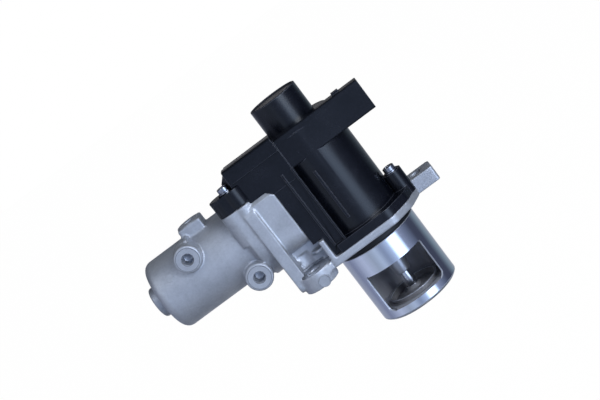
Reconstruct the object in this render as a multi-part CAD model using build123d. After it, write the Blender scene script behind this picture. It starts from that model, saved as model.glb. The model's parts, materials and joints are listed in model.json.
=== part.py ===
from build123d import *
import os
from math import acos, atan2, cos, hypot, pi, radians, sin, sqrt, tan

# Electric exhaust gas recirculation valve, in millimetres.
# The origin is on the valve axis in the plane of the mounting ears.
# Z is the valve axis, away from the manifold. X runs from the motor to the connector.

# Fits
RUNNING_FIT = 0.05
LOOSE_FIT = 0.3
FACE_GAP = 0.1
BLOCK_OVERLAP = 2.0

# Flow cartridge
CARTRIDGE_RADIUS = 22.0
CARTRIDGE_DEPTH = 39.0
CARTRIDGE_WALL = 2.6
CARTRIDGE_ROOF = 11.0
CARTRIDGE_FLOOR = 4.6
CARTRIDGE_CHAMFER = 1.2
NECK_RADIUS = 19.6
NECK_HEIGHT = 5.4
WINDOW_HALF_WIDTH = 16.0
WINDOW_LOW_CORNER = 3.0
WINDOW_HIGH_CORNER = 1.0
WINDOW_TOP_GAP = 1.2
WINDOW_SILL = 0.6

# Seat, poppet and stem
SEAT_BORE_RADIUS = 13.0
SEAT_RING_RADIUS = 16.4
SEAT_LAND = 2.0
SEAT_CLEARANCE = 0.08
SEAT_OVERLAP = 0.7
SEAT_RECESS = 0.4
POPPET_RECESS = 0.5
POPPET_FLOOR = 1.6
POPPET_HUB = 1.6
POPPET_NECK = 0.4
POPPET_MARGIN = 0.8
POPPET_CROWN = 3.2
STEM_RADIUS = 3.0
STEM_TOP = 72.0
STROKE = 6.0
GUIDE_RADIUS = 6.2
GUIDE_REACH = 13.3
GUIDE_END_RADIUS = 4.2
GUIDE_TOP = 9.0
GUIDE_CHAMFER = 0.4
STEM_SEAL_RADIUS = 6.4
STEM_SEAL_HEIGHT = 3.6

# Base plate and mounting ears
PLATE_BOTTOM = 3.5
PLATE_TOP = 7.5
PLATE_FRONT = -24.8
PLATE_BACK = 27.0
PLATE_LEFT = -23.2
PLATE_RIGHT = 29.9
PLATE_CORNER_X = 13.0
PLATE_CORNER_Y = 20.8
PLATE_BEND_X = 23.5
PLATE_BEND_Y = 8.3
PLATE_ROUNDING = 2.0
PLATE_CORNER_ROUNDING = 9.0
BOLT_CIRCLE = 77.0
EAR_ANGLE = 29.5
EAR_RADIUS = 9.4
EAR_TOP = 8.3
BOLT_HOLE_RADIUS = 3.25
SPOTFACE_RADIUS = 8.6
SPOTFACE_DEPTH = 0.5
NUT_ROOM_RADIUS = 5.8
NUT_ROOM_HEIGHT = 8.5
PAD_LENGTH = 18.4
PAD_WIDTH = 15.4
PAD_ROUNDING = 1.5
HUB_RADIUS = 9.2
HUB_TOP = 14.0
FLANGE_SEAL_RADIUS = 22.5
FLANGE_SEAL_INNER = 20.2
FLANGE_SEAL_ROUNDING = 0.9
CORNER_WALL_TOP = 18.5
CORNER_WALL = 2.7
GUSSET_FRONT = 14.0
GUSSET_RIB = 1.6
GUSSET_RIB_REACH = 5.0

# Motor housing
MOTOR_Z = 37.1
BARREL_RADIUS = 19.2
BARREL_WALL = 2.1
BARREL_END_FILLET = 4.5
BARREL_END_WALL = 3.0
END_BOSS_RADIUS = 8.4
END_BOSS_LENGTH = 4.9
END_BOSS_ROUNDING = 1.4
COLLAR_RADIUS = 23.6
COLLAR_START = -50.1
COLLAR_RAMP = 2.4
BRACKET_BOSS_RADIUS = 7.1
BRACKET_HOLE_RADIUS = 2.75
BRACKET_HOLE_DEPTH = 7.0
BRACKET_FACE_Y = -22.0
BOSS_CHAMFER = 0.7
BOSS_ROOT = 6.0
BRACKET_BOSS_X = (-78.6, -56.3)
BRACKET_BOSS_Z = (49.6, 21.6)
TOP_BOSS_X = -70.4
TOP_BOSS_Z = 61.4
TOP_BOSS_ROOT = 8.0

# Gear housing
STRIP_LEFT = -44.4
STRIP_RIGHT = -38.2
STRIP_FRONT = -24.5
STRIP_BOTTOM = 2.4
STRIP_ROUNDING = 3.0
GEARBOX_RIGHT = -26.0
GEARBOX_FRONT = -23.5
GEARBOX_BACK = 27.0
GEARBOX_BOTTOM = 20.5
GEARBOX_ROUNDING = 8.5
GEARBOX_TOP = 55.0
GEARBOX_BEVEL = 3.5
GEARBOX_CORNER = 5.0
HOUSING_WALL = 2.1
BEARING_WALL = 4.0

# Drive cover
TOWER_RADIUS = 20.8
TOWER_TOP = 68.8
TOWER_WALL = 3.0
TOWER_CHAMFER = 1.2
FOOT_TOP = 12.2
FOOT_LEFT = -16.8
LID_HEIGHT = 15.0
LID_LEFT_SLOPE = 2.2
LID_BACK_SLOPE = 10.0
LID_FRONT = -22.0
DUCT_LEFT = -40.0
DUCT_RIGHT = -11.6
DUCT_BOTTOM = 66.2
DUCT_TOP = 73.8
DUCT_FRONT = -24.6
DUCT_DEPTH = 10.0
DUCT_ROUNDING = 1.6
BAR_FRONT = -20.6
BAR_DEPTH = 10.2
BAR_INSET = 8.0
BAR_BOTTOM = 54.2
BAR_TOP = 70.6
BAR_END = 37.8
BAR_ROUNDING = 1.0
SOCKET_WALL = 1.7
SOCKET_DEPTH = 14.0
PIN_COUNT = 5
PIN_SIZE = 0.8
PIN_PITCH = 2.4
PIN_RECESS = 5.2
LATCH_X = 26.0
LATCH_WIDTH = 4.0
LATCH_HEIGHT = 1.2
PANEL_FRONT = -21.4
PANEL_RIGHT = -11.7
RIB_WIDTH = 1.0
RIB_HEIGHT = 1.6
RIB_X = (-17.6, -11.9)
RIDGE_X = -4.2
RIDGE_WIDTH = 1.4
RIDGE_HEIGHT = 1.4
RIDGE_END_GAP = 7.0
SCREW_SHANK_RADIUS = 2.0
SCREW_HEAD_RADIUS = 3.5
SCREW_HEAD_HEIGHT = 3.0
SCREW_HEAD_ROUNDING = 0.8
SCREW_RECESS_RADIUS = 1.6
SCREW_RECESS_DEPTH = 1.6
SCREW_GRIP = 9.0
SCREW_SHANK_END = 6.0
SCREW_ROOM = 0.5
LEFT_FRONT_SCREW_X = -44.5
LEFT_BOSS_X = -47.0
LEFT_BOSS_LENGTH = 3.4
LEFT_BOSS_RADIUS = 5.6
LEFT_FRONT_BOSS_Y = -17.8
LEFT_FRONT_BOSS_TOP = 62.4
LEFT_BACK_BOSS_Y = 19.2
LEFT_BACK_BOSS_TOP = 58.4
FOOT_BOSS_RADIUS = 5.1
FOOT_BOSS_TOP = 21.6
FOOT_RIGHT_BOSS = (24.8, -5.0)
FOOT_BACK_BOSS = (11.0, 22.2)
GASKET_RADIUS = 19.6
GASKET_WIDTH = 1.8
GASKET_HEIGHT = 1.0

# Sensor cap
CAP_RADIUS = 13.2
CAP_TOP = 85.8
CAP_WALL = 2.2
CAP_ROUNDING = 1.6
BOARD_THICKNESS = 1.6
MAGNET_RADIUS = 4.0
MAGNET_HEIGHT = 5.0
MAGNET_SEAT = 2.0
MAGNET_ROOM = 0.8
SENSOR_LENGTH = 4.0
SENSOR_DEPTH = 3.0
SENSOR_THICKNESS = 1.2

# Drive train
PRESSURE_ANGLE = 20.0
WHEEL_ADDENDUM = 0.65
PINION_ADDENDUM = 1.0
ROOT_CLEARANCE = 0.2
BACKLASH = 0.12
MOTOR_STAGE_MODULE = 0.7
IDLER_STAGE_MODULE = 0.8
RACK_MODULE = 1.0
PINION_TEETH = 10
IDLER_TEETH = 36
OUTPUT_TEETH = 32
RACK_PINION_TEETH = 12
RACK_TEETH = 6
GEAR_WIDTH = 4.0
STAGE_GAP = 0.8
GEAR_SIDE_GAP = 0.8
GEAR_ROOM = 1.2
OUTPUT_Y = 10.5
OUTPUT_Z = 54.0
OUTPUT_SHAFT_RADIUS = 3.0
IDLER_PIN_RADIUS = 1.5
IDLER_PIN_SEAT = 3.0
BUSH_WALL = 2.0
BUSH_LENGTH = 4.0
RACK_WIDTH = 7.0
RACK_BACK = 4.0
RACK_ROOM = 1.6
RACK_END_LAND = 0.4

# Motor
MOTOR_SHAFT_RADIUS = 1.6
SHAFT_END_GAP = 0.5
CAN_WALL = 1.2
CAN_END_GAP = 3.6
MAGNET_THICKNESS = 2.8
MAGNET_GAP = 8.0
AIR_GAP = 0.5
CORE_LENGTH = 28.0
CORE_SLOTS = 8
CORE_SLOT_WIDTH = 2.0
CORE_SLOT_DEPTH = 5.0
CORE_OFFSET = 5.0
WINDING_LENGTH = 5.0
WINDING_GAP = 1.0
WINDING_STEP = 2.5
COMMUTATOR_RADIUS = 5.0
COMMUTATOR_LENGTH = 6.0
COMMUTATOR_GROOVE = 0.4
COMMUTATOR_GAP = 5.2
END_PLATE = 2.4
BEARING_RADIUS = 4.6
BEARING_WIDTH = 4.0
BRUSH_CARD = 2.2
BRUSH_LENGTH = 6.5
BRUSH_WIDTH = 4.0

# Return spring
SPRING_WIRE_RADIUS = 1.0
SPRING_RADIUS = 12.0
SPRING_TURNS = 6
RETAINER_RADIUS = 14.0
RETAINER_TOP = 46.0
RETAINER_THICKNESS = 2.0
RETAINER_COLLAR_GAP = 0.6
RETAINER_ROOM = 2.0

# Places worked out from the sizes above
cartridge_low = -CARTRIDGE_DEPTH
floor_top = cartridge_low + CARTRIDGE_FLOOR
roof_low = -CARTRIDGE_ROOF
chamber_radius = CARTRIDGE_RADIUS - CARTRIDGE_WALL
lid_top = GEARBOX_TOP + LID_HEIGHT
seat_cone_top = floor_top - SEAT_LAND
poppet_low = cartridge_low + POPPET_RECESS
stem_low = poppet_low + POPPET_FLOOR
guide_low = roof_low - GUIDE_REACH
spring_chamber_top = RETAINER_TOP + RETAINER_ROOM
gear_left = STRIP_LEFT + HOUSING_WALL
left_back_screw_x = STRIP_LEFT - SCREW_HEAD_RADIUS - 2 * SCREW_ROOM
wall_left = gear_left - BEARING_WALL
stage_one = gear_left + GEAR_SIDE_GAP
stage_two = stage_one + GEAR_WIDTH + STAGE_GAP
gear_right = stage_two + GEAR_WIDTH + GEAR_SIDE_GAP
front_bearing_start = wall_left - BEARING_WIDTH
end_plate_start = wall_left - END_PLATE
brush_card_start = end_plate_start - BRUSH_CARD
commutator_start = front_bearing_start - COMMUTATOR_GAP - COMMUTATOR_LENGTH
core_end = commutator_start - WINDING_GAP - WINDING_LENGTH
core_start = core_end - CORE_LENGTH
motor_chamber_start = core_start - CORE_OFFSET
rear_bearing_start = motor_chamber_start - BEARING_WIDTH
barrel_end = motor_chamber_start - BARREL_END_WALL
end_boss_end = barrel_end - END_BOSS_LENGTH
motor_chamber_radius = BARREL_RADIUS - BARREL_WALL
rack_pitch_y = OUTPUT_Y - RACK_MODULE * RACK_PINION_TEETH / 2


def rod_z(radius, low, high, x=0.0, y=0.0):
    """A round bar along Z between two heights."""
    return Pos(x, y, low) * Cylinder(radius, high - low, align=(Align.CENTER, Align.CENTER, Align.MIN))


def rod_x(radius, left, right, y=0.0, z=0.0):
    """A round bar along X between two ends."""
    bar = Cylinder(radius, right - left, align=(Align.CENTER, Align.CENTER, Align.MIN))
    return Pos(left, y, z) * Rot(0, 90, 0) * bar


def rod_y(radius, front, back, x, z):
    """A round bar along Y between its front and back ends."""
    bar = Cylinder(radius, back - front, align=(Align.CENTER, Align.CENTER, Align.MIN))
    return Pos(x, front, z) * Rot(-90, 0, 0) * bar


def block(left, right, front, back, low, high):
    """A box given by its two limits along each axis."""
    middle = ((left + right) / 2, (front + back) / 2, (low + high) / 2)
    return Pos(*middle) * Box(right - left, back - front, high - low)


def ear_place(side):
    """Centre of a mounting ear: side 1 is the square right one, side -1 the round left one in front."""
    angle = radians(EAR_ANGLE)
    return side * BOLT_CIRCLE / 2 * cos(angle), side * BOLT_CIRCLE / 2 * sin(angle)


def idler_place():
    """Y and Z of the idler axis, which keeps both centre distances, on the front side."""
    first = MOTOR_STAGE_MODULE * (PINION_TEETH + IDLER_TEETH) / 2
    second = IDLER_STAGE_MODULE * (PINION_TEETH + OUTPUT_TEETH) / 2
    span_y = OUTPUT_Y
    span_z = OUTPUT_Z - MOTOR_Z
    span = hypot(span_y, span_z)
    along = (first**2 - second**2 + span**2) / (2 * span)
    across = sqrt(first**2 - along**2)
    y = (along * span_y - across * span_z) / span
    z = MOTOR_Z + (along * span_z + across * span_y) / span
    return y, z


def tooth_offset(radius, base, half_tooth):
    """Half of the angle that a tooth takes at a radius, on involute flanks."""
    flank = 0.0
    if radius > base:
        roll = acos(base / radius)
        flank = tan(roll) - roll
    pressure = radians(PRESSURE_ANGLE)
    return half_tooth + tan(pressure) - pressure - flank


def gear(module, teeth, addendum, dedendum, left, right, y, z, facing):
    """A spur gear about an axis along X, with a tooth centred at the angle facing, from Y towards Z."""
    pitch = module * teeth / 2
    base = pitch * cos(radians(PRESSURE_ANGLE))
    root = pitch - dedendum * module
    tip = pitch + addendum * module
    half_tooth = pi / (2 * teeth) - BACKLASH / (2 * pitch)
    radii = (root, max(base, root + 0.1 * module), pitch, tip)
    points = []
    for tooth in range(teeth):
        middle = facing + 2 * pi * tooth / teeth
        for radius in radii:
            angle = middle - tooth_offset(radius, base, half_tooth)
            points.append((radius * cos(angle), radius * sin(angle)))
        for radius in reversed(radii):
            angle = middle + tooth_offset(radius, base, half_tooth)
            points.append((radius * cos(angle), radius * sin(angle)))
    face = make_face(Polyline(*points, close=True))
    return Plane((left, y, z), x_dir=(0, 1, 0), z_dir=(1, 0, 0)) * extrude(face, right - left)


idler_y, idler_z = idler_place()
motor_to_idler = atan2(idler_z - MOTOR_Z, idler_y)
idler_to_output = atan2(OUTPUT_Z - idler_z, OUTPUT_Y - idler_y)
wheel_dedendum = PINION_ADDENDUM + ROOT_CLEARANCE
pinion_dedendum = WHEEL_ADDENDUM + ROOT_CLEARANCE


# Base outline shared by the plate and the foot of the cover
def foot_outline():
    """The plate's outline seen from above, without its ears."""
    corners = (
        (PLATE_LEFT, PLATE_FRONT),
        (PLATE_CORNER_X, PLATE_FRONT),
        (PLATE_BEND_X, PLATE_FRONT + PLATE_BEND_Y),
        (PLATE_RIGHT, PLATE_FRONT + PLATE_CORNER_Y),
        (PLATE_RIGHT, PLATE_BACK - PLATE_CORNER_Y),
        (PLATE_BEND_X, PLATE_BACK - PLATE_BEND_Y),
        (PLATE_CORNER_X, PLATE_BACK),
        (PLATE_LEFT, PLATE_BACK),
    )
    face = make_face(Polyline(*corners, close=True))
    face = fillet(face.vertices().group_by(Axis.X)[0], PLATE_ROUNDING)
    blunt = face.vertices().filter_by(lambda corner: corner.X > PLATE_CORNER_X - 1)
    return fillet(blunt, PLATE_CORNER_ROUNDING)


def barrel_profile():
    """Half section of the motor housing, turned about the motor axis."""
    outline = Polyline(
        (end_boss_end, 0),
        (end_boss_end, END_BOSS_RADIUS),
        (barrel_end, END_BOSS_RADIUS),
        (barrel_end, BARREL_RADIUS),
        (COLLAR_START - COLLAR_RAMP, BARREL_RADIUS),
        (COLLAR_START, COLLAR_RADIUS),
        (STRIP_LEFT, COLLAR_RADIUS),
        (STRIP_LEFT, 0),
        close=True,
    )
    face = make_face(outline)
    by_x = face.vertices().group_by(Axis.X)
    boss_rim = by_x[0].sort_by(Axis.Y)[-1]
    barrel_rim = by_x[1].sort_by(Axis.Y)[-1]
    face = fillet(boss_rim, END_BOSS_ROUNDING)
    face = fillet(face.vertices().sort_by_distance(barrel_rim)[0], BARREL_END_FILLET)
    return face


def motor_housing():
    """Barrel, end boss, collar and the bracket bosses, solid."""
    barrel = revolve(Pos(0, 0, MOTOR_Z) * Rot(90, 0, 0) * barrel_profile(), Axis((0, 0, MOTOR_Z), (1, 0, 0)))
    for x, z in zip(BRACKET_BOSS_X, BRACKET_BOSS_Z):
        boss = rod_y(BRACKET_BOSS_RADIUS, BRACKET_FACE_Y, -BOSS_ROOT, x, z)
        front_rim = boss.edges().filter_by(GeomType.CIRCLE).sort_by(Axis.Y)[0]
        barrel += chamfer(front_rim, BOSS_CHAMFER)
    top = rod_z(BRACKET_BOSS_RADIUS, MOTOR_Z + TOP_BOSS_ROOT, TOP_BOSS_Z, TOP_BOSS_X)
    top_rim = top.edges().filter_by(GeomType.CIRCLE).sort_by(Axis.Z)[-1]
    barrel += chamfer(top_rim, BOSS_CHAMFER)
    return barrel


def gear_housing():
    """The cast gear housing, solid, with its front strip."""
    width = GEARBOX_BACK - GEARBOX_FRONT
    section = Pos((GEARBOX_FRONT + GEARBOX_BACK) / 2, (GEARBOX_BOTTOM + GEARBOX_TOP) / 2) * Rectangle(
        width, GEARBOX_TOP - GEARBOX_BOTTOM
    )
    corners = section.vertices().group_by(Axis.Y)
    section = fillet(corners[0], GEARBOX_ROUNDING)
    section = chamfer(section.vertices().group_by(Axis.Y)[-1], GEARBOX_BEVEL)
    side = Plane((STRIP_LEFT, 0, 0), x_dir=(0, 1, 0), z_dir=(1, 0, 0))
    housing = side * extrude(section, GEARBOX_RIGHT - STRIP_LEFT)
    corner_edge = housing.edges().filter_by(Axis.Y).group_by(Axis.X)[-1].sort_by(Axis.Z)[-1]
    housing = chamfer(corner_edge, GEARBOX_CORNER)
    strip_top = GEARBOX_TOP - GEARBOX_BEVEL
    strip_back = BLOCK_OVERLAP - GUSSET_FRONT
    strip = block(STRIP_LEFT, STRIP_RIGHT, STRIP_FRONT, strip_back, STRIP_BOTTOM, strip_top)
    strip = fillet(strip.edges().filter_by(Axis.X).group_by(Axis.Y)[0], STRIP_ROUNDING)
    return housing + strip


def screws():
    """Axis, height under the head and kind of each cover screw."""
    return (
        (LEFT_FRONT_SCREW_X, LEFT_FRONT_BOSS_Y, LEFT_FRONT_BOSS_TOP, "left"),
        (left_back_screw_x, LEFT_BACK_BOSS_Y, LEFT_BACK_BOSS_TOP, "left"),
        (*FOOT_RIGHT_BOSS, FOOT_BOSS_TOP, "foot"),
        (*FOOT_BACK_BOSS, FOOT_BOSS_TOP, "foot"),
    )


def left_boss(y, low, high):
    """An oblong boss for a left cover screw."""
    outline = SlotCenterToCenter(LEFT_BOSS_LENGTH, 2 * LEFT_BOSS_RADIUS)
    return Pos(LEFT_BOSS_X, y, low) * extrude(outline, high - low)


def screw_boss_posts():
    """Metal under the left screws of the cover."""
    posts = [left_boss(y, MOTOR_Z, GEARBOX_TOP) for _, y, _, kind in screws() if kind == "left"]
    return posts[0] + posts[1]


def base_plate():
    """Plate, ears, gusset and hub round the valve axis, solid."""
    plate = Pos(0, 0, PLATE_BOTTOM) * extrude(foot_outline(), PLATE_TOP - PLATE_BOTTOM)
    arm = SlotCenterToCenter(BOLT_CIRCLE / 2, 2 * EAR_RADIUS)
    arm = Rot(0, 0, EAR_ANGLE) * Pos(-BOLT_CIRCLE / 4, 0) * arm
    plate += Pos(0, 0, PLATE_BOTTOM) * extrude(arm, PLATE_TOP - PLATE_BOTTOM)
    plate += rod_z(EAR_RADIUS, 0, EAR_TOP, *ear_place(-1))
    pad = fillet(Rectangle(PAD_LENGTH, PAD_WIDTH).vertices(), PAD_ROUNDING)
    plate += Pos(*ear_place(1)) * extrude(pad, EAR_TOP)
    ear_x, ear_y = ear_place(1)
    plate += block(0, ear_x, ear_y - PAD_WIDTH / 2, ear_y, PLATE_BOTTOM, PLATE_TOP)
    gusset_top = GEARBOX_BOTTOM + BLOCK_OVERLAP
    gusset = block(STRIP_LEFT, PLATE_LEFT, -GUSSET_FRONT, GUSSET_FRONT, PLATE_BOTTOM, gusset_top)
    rib_front = -GUSSET_FRONT - GUSSET_RIB_REACH
    rib_low = (PLATE_TOP + GEARBOX_BOTTOM - GUSSET_RIB) / 2
    gusset += block(STRIP_LEFT, PLATE_LEFT, rib_front, 0, rib_low, rib_low + GUSSET_RIB)
    corner_right = PLATE_LEFT + CORNER_WALL
    gusset += block(PLATE_LEFT, corner_right, PLATE_FRONT, PLATE_BACK, PLATE_BOTTOM, CORNER_WALL_TOP)
    hub = rod_z(HUB_RADIUS, PLATE_BOTTOM, HUB_TOP)
    return plate + gusset + hub


def casting_form():
    """The outer form of the body casting, before it is hollowed."""
    return motor_housing() + gear_housing() + screw_boss_posts() + base_plate()


def gear_chamber():
    """The room that the gears turn in, shared by casting and cover."""
    idler_room = MOTOR_STAGE_MODULE * (IDLER_TEETH / 2 + WHEEL_ADDENDUM) + GEAR_ROOM
    output_room = IDLER_STAGE_MODULE * (OUTPUT_TEETH / 2 + WHEEL_ADDENDUM) + GEAR_ROOM
    motor_room = MOTOR_STAGE_MODULE * (PINION_TEETH / 2 + PINION_ADDENDUM) + GEAR_ROOM
    chamber = rod_x(idler_room, gear_left, gear_right, idler_y, idler_z)
    chamber += rod_x(output_room, gear_left, gear_right, OUTPUT_Y, OUTPUT_Z)
    return chamber + rod_x(motor_room, gear_left - BEARING_WALL - 1, gear_right, 0, MOTOR_Z)


def bearing_wall(clearance=0.0):
    """The wall right of the gears, which carries the idler pin and a shaft bush."""
    front = idler_y - IDLER_PIN_RADIUS - BUSH_WALL - clearance
    back = OUTPUT_Y + OUTPUT_SHAFT_RADIUS + 2 * BUSH_WALL + clearance
    top = OUTPUT_Z + OUTPUT_SHAFT_RADIUS + 2 * BUSH_WALL + clearance
    return block(gear_right, GEARBOX_RIGHT, front, back, GEARBOX_TOP - GEARBOX_CORNER, top)


def body_casting():
    """Motor housing, gear housing and base plate in one casting."""
    body = casting_form() + bearing_wall()
    body -= rod_x(motor_chamber_radius, motor_chamber_start, wall_left, 0, MOTOR_Z)
    body -= rod_x(BEARING_RADIUS, motor_chamber_start - BEARING_WIDTH, motor_chamber_start + 1, 0, MOTOR_Z)
    body -= gear_chamber()
    body -= rod_x(IDLER_PIN_RADIUS, gear_left - IDLER_PIN_SEAT, gear_right + IDLER_PIN_SEAT, idler_y, idler_z)
    bush_radius = OUTPUT_SHAFT_RADIUS + RUNNING_FIT + BUSH_WALL
    body -= rod_x(bush_radius, gear_right - 1, gear_right + BUSH_LENGTH, OUTPUT_Y, OUTPUT_Z)
    body -= rod_x(OUTPUT_SHAFT_RADIUS + LOOSE_FIT, gear_right, GEARBOX_RIGHT + 1, OUTPUT_Y, OUTPUT_Z)
    for x, z in zip(BRACKET_BOSS_X, BRACKET_BOSS_Z):
        body -= rod_y(BRACKET_HOLE_RADIUS, BRACKET_FACE_Y - 1, BRACKET_FACE_Y + BRACKET_HOLE_DEPTH, x, z)
    body -= rod_z(BRACKET_HOLE_RADIUS, TOP_BOSS_Z - BRACKET_HOLE_DEPTH, TOP_BOSS_Z + 1, TOP_BOSS_X)
    body -= rod_z(FLANGE_SEAL_RADIUS + FACE_GAP, -1, PLATE_BOTTOM)
    body -= rod_z(NECK_RADIUS, PLATE_BOTTOM - 1, NECK_HEIGHT)
    body -= rod_z(GUIDE_RADIUS, PLATE_BOTTOM, GUIDE_TOP)
    body -= rod_z(STEM_RADIUS + LOOSE_FIT, GUIDE_TOP - 1, HUB_TOP + 1)
    body -= rod_z(STEM_SEAL_RADIUS, HUB_TOP - STEM_SEAL_HEIGHT, HUB_TOP + 1)
    for side in (-1, 1):
        x, y = ear_place(side)
        body -= rod_z(BOLT_HOLE_RADIUS, -1, EAR_TOP + 1, x, y)
    body -= rod_z(SPOTFACE_RADIUS, EAR_TOP - SPOTFACE_DEPTH, EAR_TOP + 1, *ear_place(-1))
    body -= rod_z(NUT_ROOM_RADIUS, EAR_TOP, EAR_TOP + NUT_ROOM_HEIGHT, *ear_place(-1))
    for x, y, top, _ in screws():
        body -= rod_z(SCREW_SHANK_RADIUS, top - SCREW_GRIP - SCREW_SHANK_END - SCREW_ROOM, top, x, y)
    return body


def connector_bar():
    """The cross bar whose right end is the connector shell, solid."""
    bar = block(DUCT_LEFT + BAR_INSET, BAR_END, BAR_FRONT, BAR_FRONT + BAR_DEPTH, BAR_BOTTOM, BAR_TOP)
    bar = fillet(bar.edges().filter_by(Axis.X), BAR_ROUNDING)
    left = LATCH_X - LATCH_WIDTH / 2
    front = BAR_FRONT + (BAR_DEPTH - LATCH_WIDTH) / 2
    latch = block(left, left + LATCH_WIDTH, front, front + LATCH_WIDTH, BAR_TOP - 1, BAR_TOP + LATCH_HEIGHT)
    return bar + latch


def cable_duct():
    """The raised duct along the top front edge of the lid."""
    duct = block(DUCT_LEFT, DUCT_RIGHT, DUCT_FRONT, DUCT_FRONT + DUCT_DEPTH, DUCT_BOTTOM, DUCT_TOP)
    return fillet(duct.edges().filter_by(Axis.X).group_by(Axis.Z)[-1], DUCT_ROUNDING)


def cover_ribs():
    """Upright ribs on the front of the cover."""
    ridge_front = -TOWER_RADIUS - RIDGE_HEIGHT
    ridge_low = FOOT_TOP + RIDGE_END_GAP
    ridge_high = BAR_BOTTOM - RIDGE_END_GAP
    ridge_left = RIDGE_X - RIDGE_WIDTH / 2
    ribs = block(ridge_left, ridge_left + RIDGE_WIDTH, ridge_front, 0, ridge_low, ridge_high)
    rib_front = PANEL_FRONT - RIB_HEIGHT
    for x in RIB_X:
        left = x - RIB_WIDTH / 2
        ribs += block(left, left + RIB_WIDTH, rib_front, PANEL_FRONT + 1, FOOT_TOP, BAR_BOTTOM + 1)
    return ribs


def lid_form():
    """The moulded top of the gear housing, sloped on its left and back."""
    lid = block(STRIP_LEFT, DUCT_RIGHT, LID_FRONT, GEARBOX_BACK, GEARBOX_TOP - GEARBOX_CORNER, lid_top)
    back_edge = lid.edges().filter_by(Axis.X).group_by(Axis.Z)[-1].sort_by(Axis.Y)[-1]
    lid = chamfer(back_edge, LID_BACK_SLOPE)
    left_edges = lid.faces().sort_by(Axis.X)[0].edges().filter_by(Axis.Y).sort_by(Axis.Z)[-1]
    return chamfer(left_edges, LID_LEFT_SLOPE)


def cover_form():
    """The outer form of the drive cover, before it is hollowed."""
    foot = Pos(0, 0, PLATE_TOP) * extrude(foot_outline(), FOOT_TOP - PLATE_TOP)
    foot -= block(PLATE_LEFT - 1, FOOT_LEFT, PLATE_FRONT - 1, PANEL_FRONT, PLATE_TOP - 1, FOOT_TOP + 1)
    tower = rod_z(TOWER_RADIUS, PLATE_TOP, TOWER_TOP)
    tower = chamfer(tower.edges().filter_by(GeomType.CIRCLE).sort_by(Axis.Z)[-1], TOWER_CHAMFER)
    panel = block(GEARBOX_RIGHT, PANEL_RIGHT, PANEL_FRONT, -PANEL_FRONT, CORNER_WALL_TOP, TOWER_TOP)
    low_left = PLATE_LEFT + CORNER_WALL
    panel += block(low_left, PANEL_RIGHT, PANEL_FRONT, -PANEL_FRONT, PLATE_TOP, CORNER_WALL_TOP)
    form = foot + tower + panel + lid_form() + connector_bar() + cable_duct() + cover_ribs()
    for x, y, top, kind in screws():
        if kind == "left":
            front = y - LEFT_BOSS_RADIUS
            back = y + LEFT_BOSS_RADIUS
            form += left_boss(y, GEARBOX_TOP, top)
            form += block(LEFT_BOSS_X, STRIP_LEFT + BLOCK_OVERLAP, front, back, GEARBOX_TOP, top)
        else:
            form += rod_z(FOOT_BOSS_RADIUS, PLATE_TOP, top, x, y)
    return form


def drive_cover():
    """Moulded cover over the return spring, the rack and the gears, with the connector shell."""
    cover = cover_form() - casting_form()
    cover -= gear_chamber()
    cover -= bearing_wall(LOOSE_FIT)
    cover -= rod_z(TOWER_RADIUS - TOWER_WALL, PLATE_TOP - 1, spring_chamber_top)
    cover -= rod_z(GASKET_RADIUS + FACE_GAP, PLATE_TOP - 1, PLATE_TOP + GASKET_HEIGHT)
    pinion_tip = RACK_MODULE * (RACK_PINION_TEETH / 2 + PINION_ADDENDUM)
    room = RACK_WIDTH / 2 + RACK_ROOM
    rack_top = OUTPUT_Z + pinion_tip + STROKE
    cover -= block(-room, room, -room, OUTPUT_Y + pinion_tip + 1, spring_chamber_top - 1, rack_top)
    cover -= rod_z(MAGNET_RADIUS + MAGNET_ROOM, rack_top - 1, TOWER_TOP + 1)
    cover -= rod_x(OUTPUT_SHAFT_RADIUS + LOOSE_FIT, gear_right, room, OUTPUT_Y, OUTPUT_Z)
    cover -= rod_z(CAP_RADIUS + FACE_GAP, TOWER_TOP, CAP_TOP)
    bush_radius = OUTPUT_SHAFT_RADIUS + RUNNING_FIT + BUSH_WALL
    cover -= rod_x(bush_radius, room - 1, room + BUSH_LENGTH, OUTPUT_Y, OUTPUT_Z)
    cover -= block(
        BAR_END - SOCKET_DEPTH,
        BAR_END + 1,
        BAR_FRONT + SOCKET_WALL,
        BAR_FRONT + BAR_DEPTH - SOCKET_WALL,
        BAR_BOTTOM + SOCKET_WALL,
        BAR_TOP - SOCKET_WALL,
    )
    for place in pin_places():
        cover -= terminal(place, 1)
    for x, y, top, _ in screws():
        cover -= rod_z(SCREW_SHANK_RADIUS + LOOSE_FIT, PLATE_TOP - 1, top + 1, x, y)
        cover -= rod_z(SCREW_HEAD_RADIUS + SCREW_ROOM, top, lid_top + 1, x, y)
    notch_right = LEFT_FRONT_SCREW_X + SCREW_HEAD_RADIUS + SCREW_ROOM
    cover -= block(
        STRIP_LEFT - 1,
        notch_right,
        LID_FRONT - 1,
        LEFT_FRONT_BOSS_Y,
        LEFT_FRONT_BOSS_TOP,
        lid_top + 1,
    )
    return cover


def pin_places():
    """Where each terminal leaves the floor of the socket."""
    middle_y = BAR_FRONT + BAR_DEPTH / 2
    middle_z = (BAR_BOTTOM + BAR_TOP) / 2
    offsets = [(index - (PIN_COUNT - 1) / 2) * PIN_PITCH for index in range(PIN_COUNT)]
    return [(BAR_END - SOCKET_DEPTH, middle_y, middle_z + offset) for offset in offsets]


def terminal(place, reach):
    """A square blade that starts inside the bar and reaches out of the socket's floor."""
    x, y, z = place
    half = PIN_SIZE / 2
    return block(x - SOCKET_DEPTH, x + reach, y - half, y + half, z - half, z + half)


def connector_pins():
    """The terminals in the connector shell, one blade each."""
    return Compound(children=[terminal(place, SOCKET_DEPTH - PIN_RECESS) for place in pin_places()])


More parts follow.
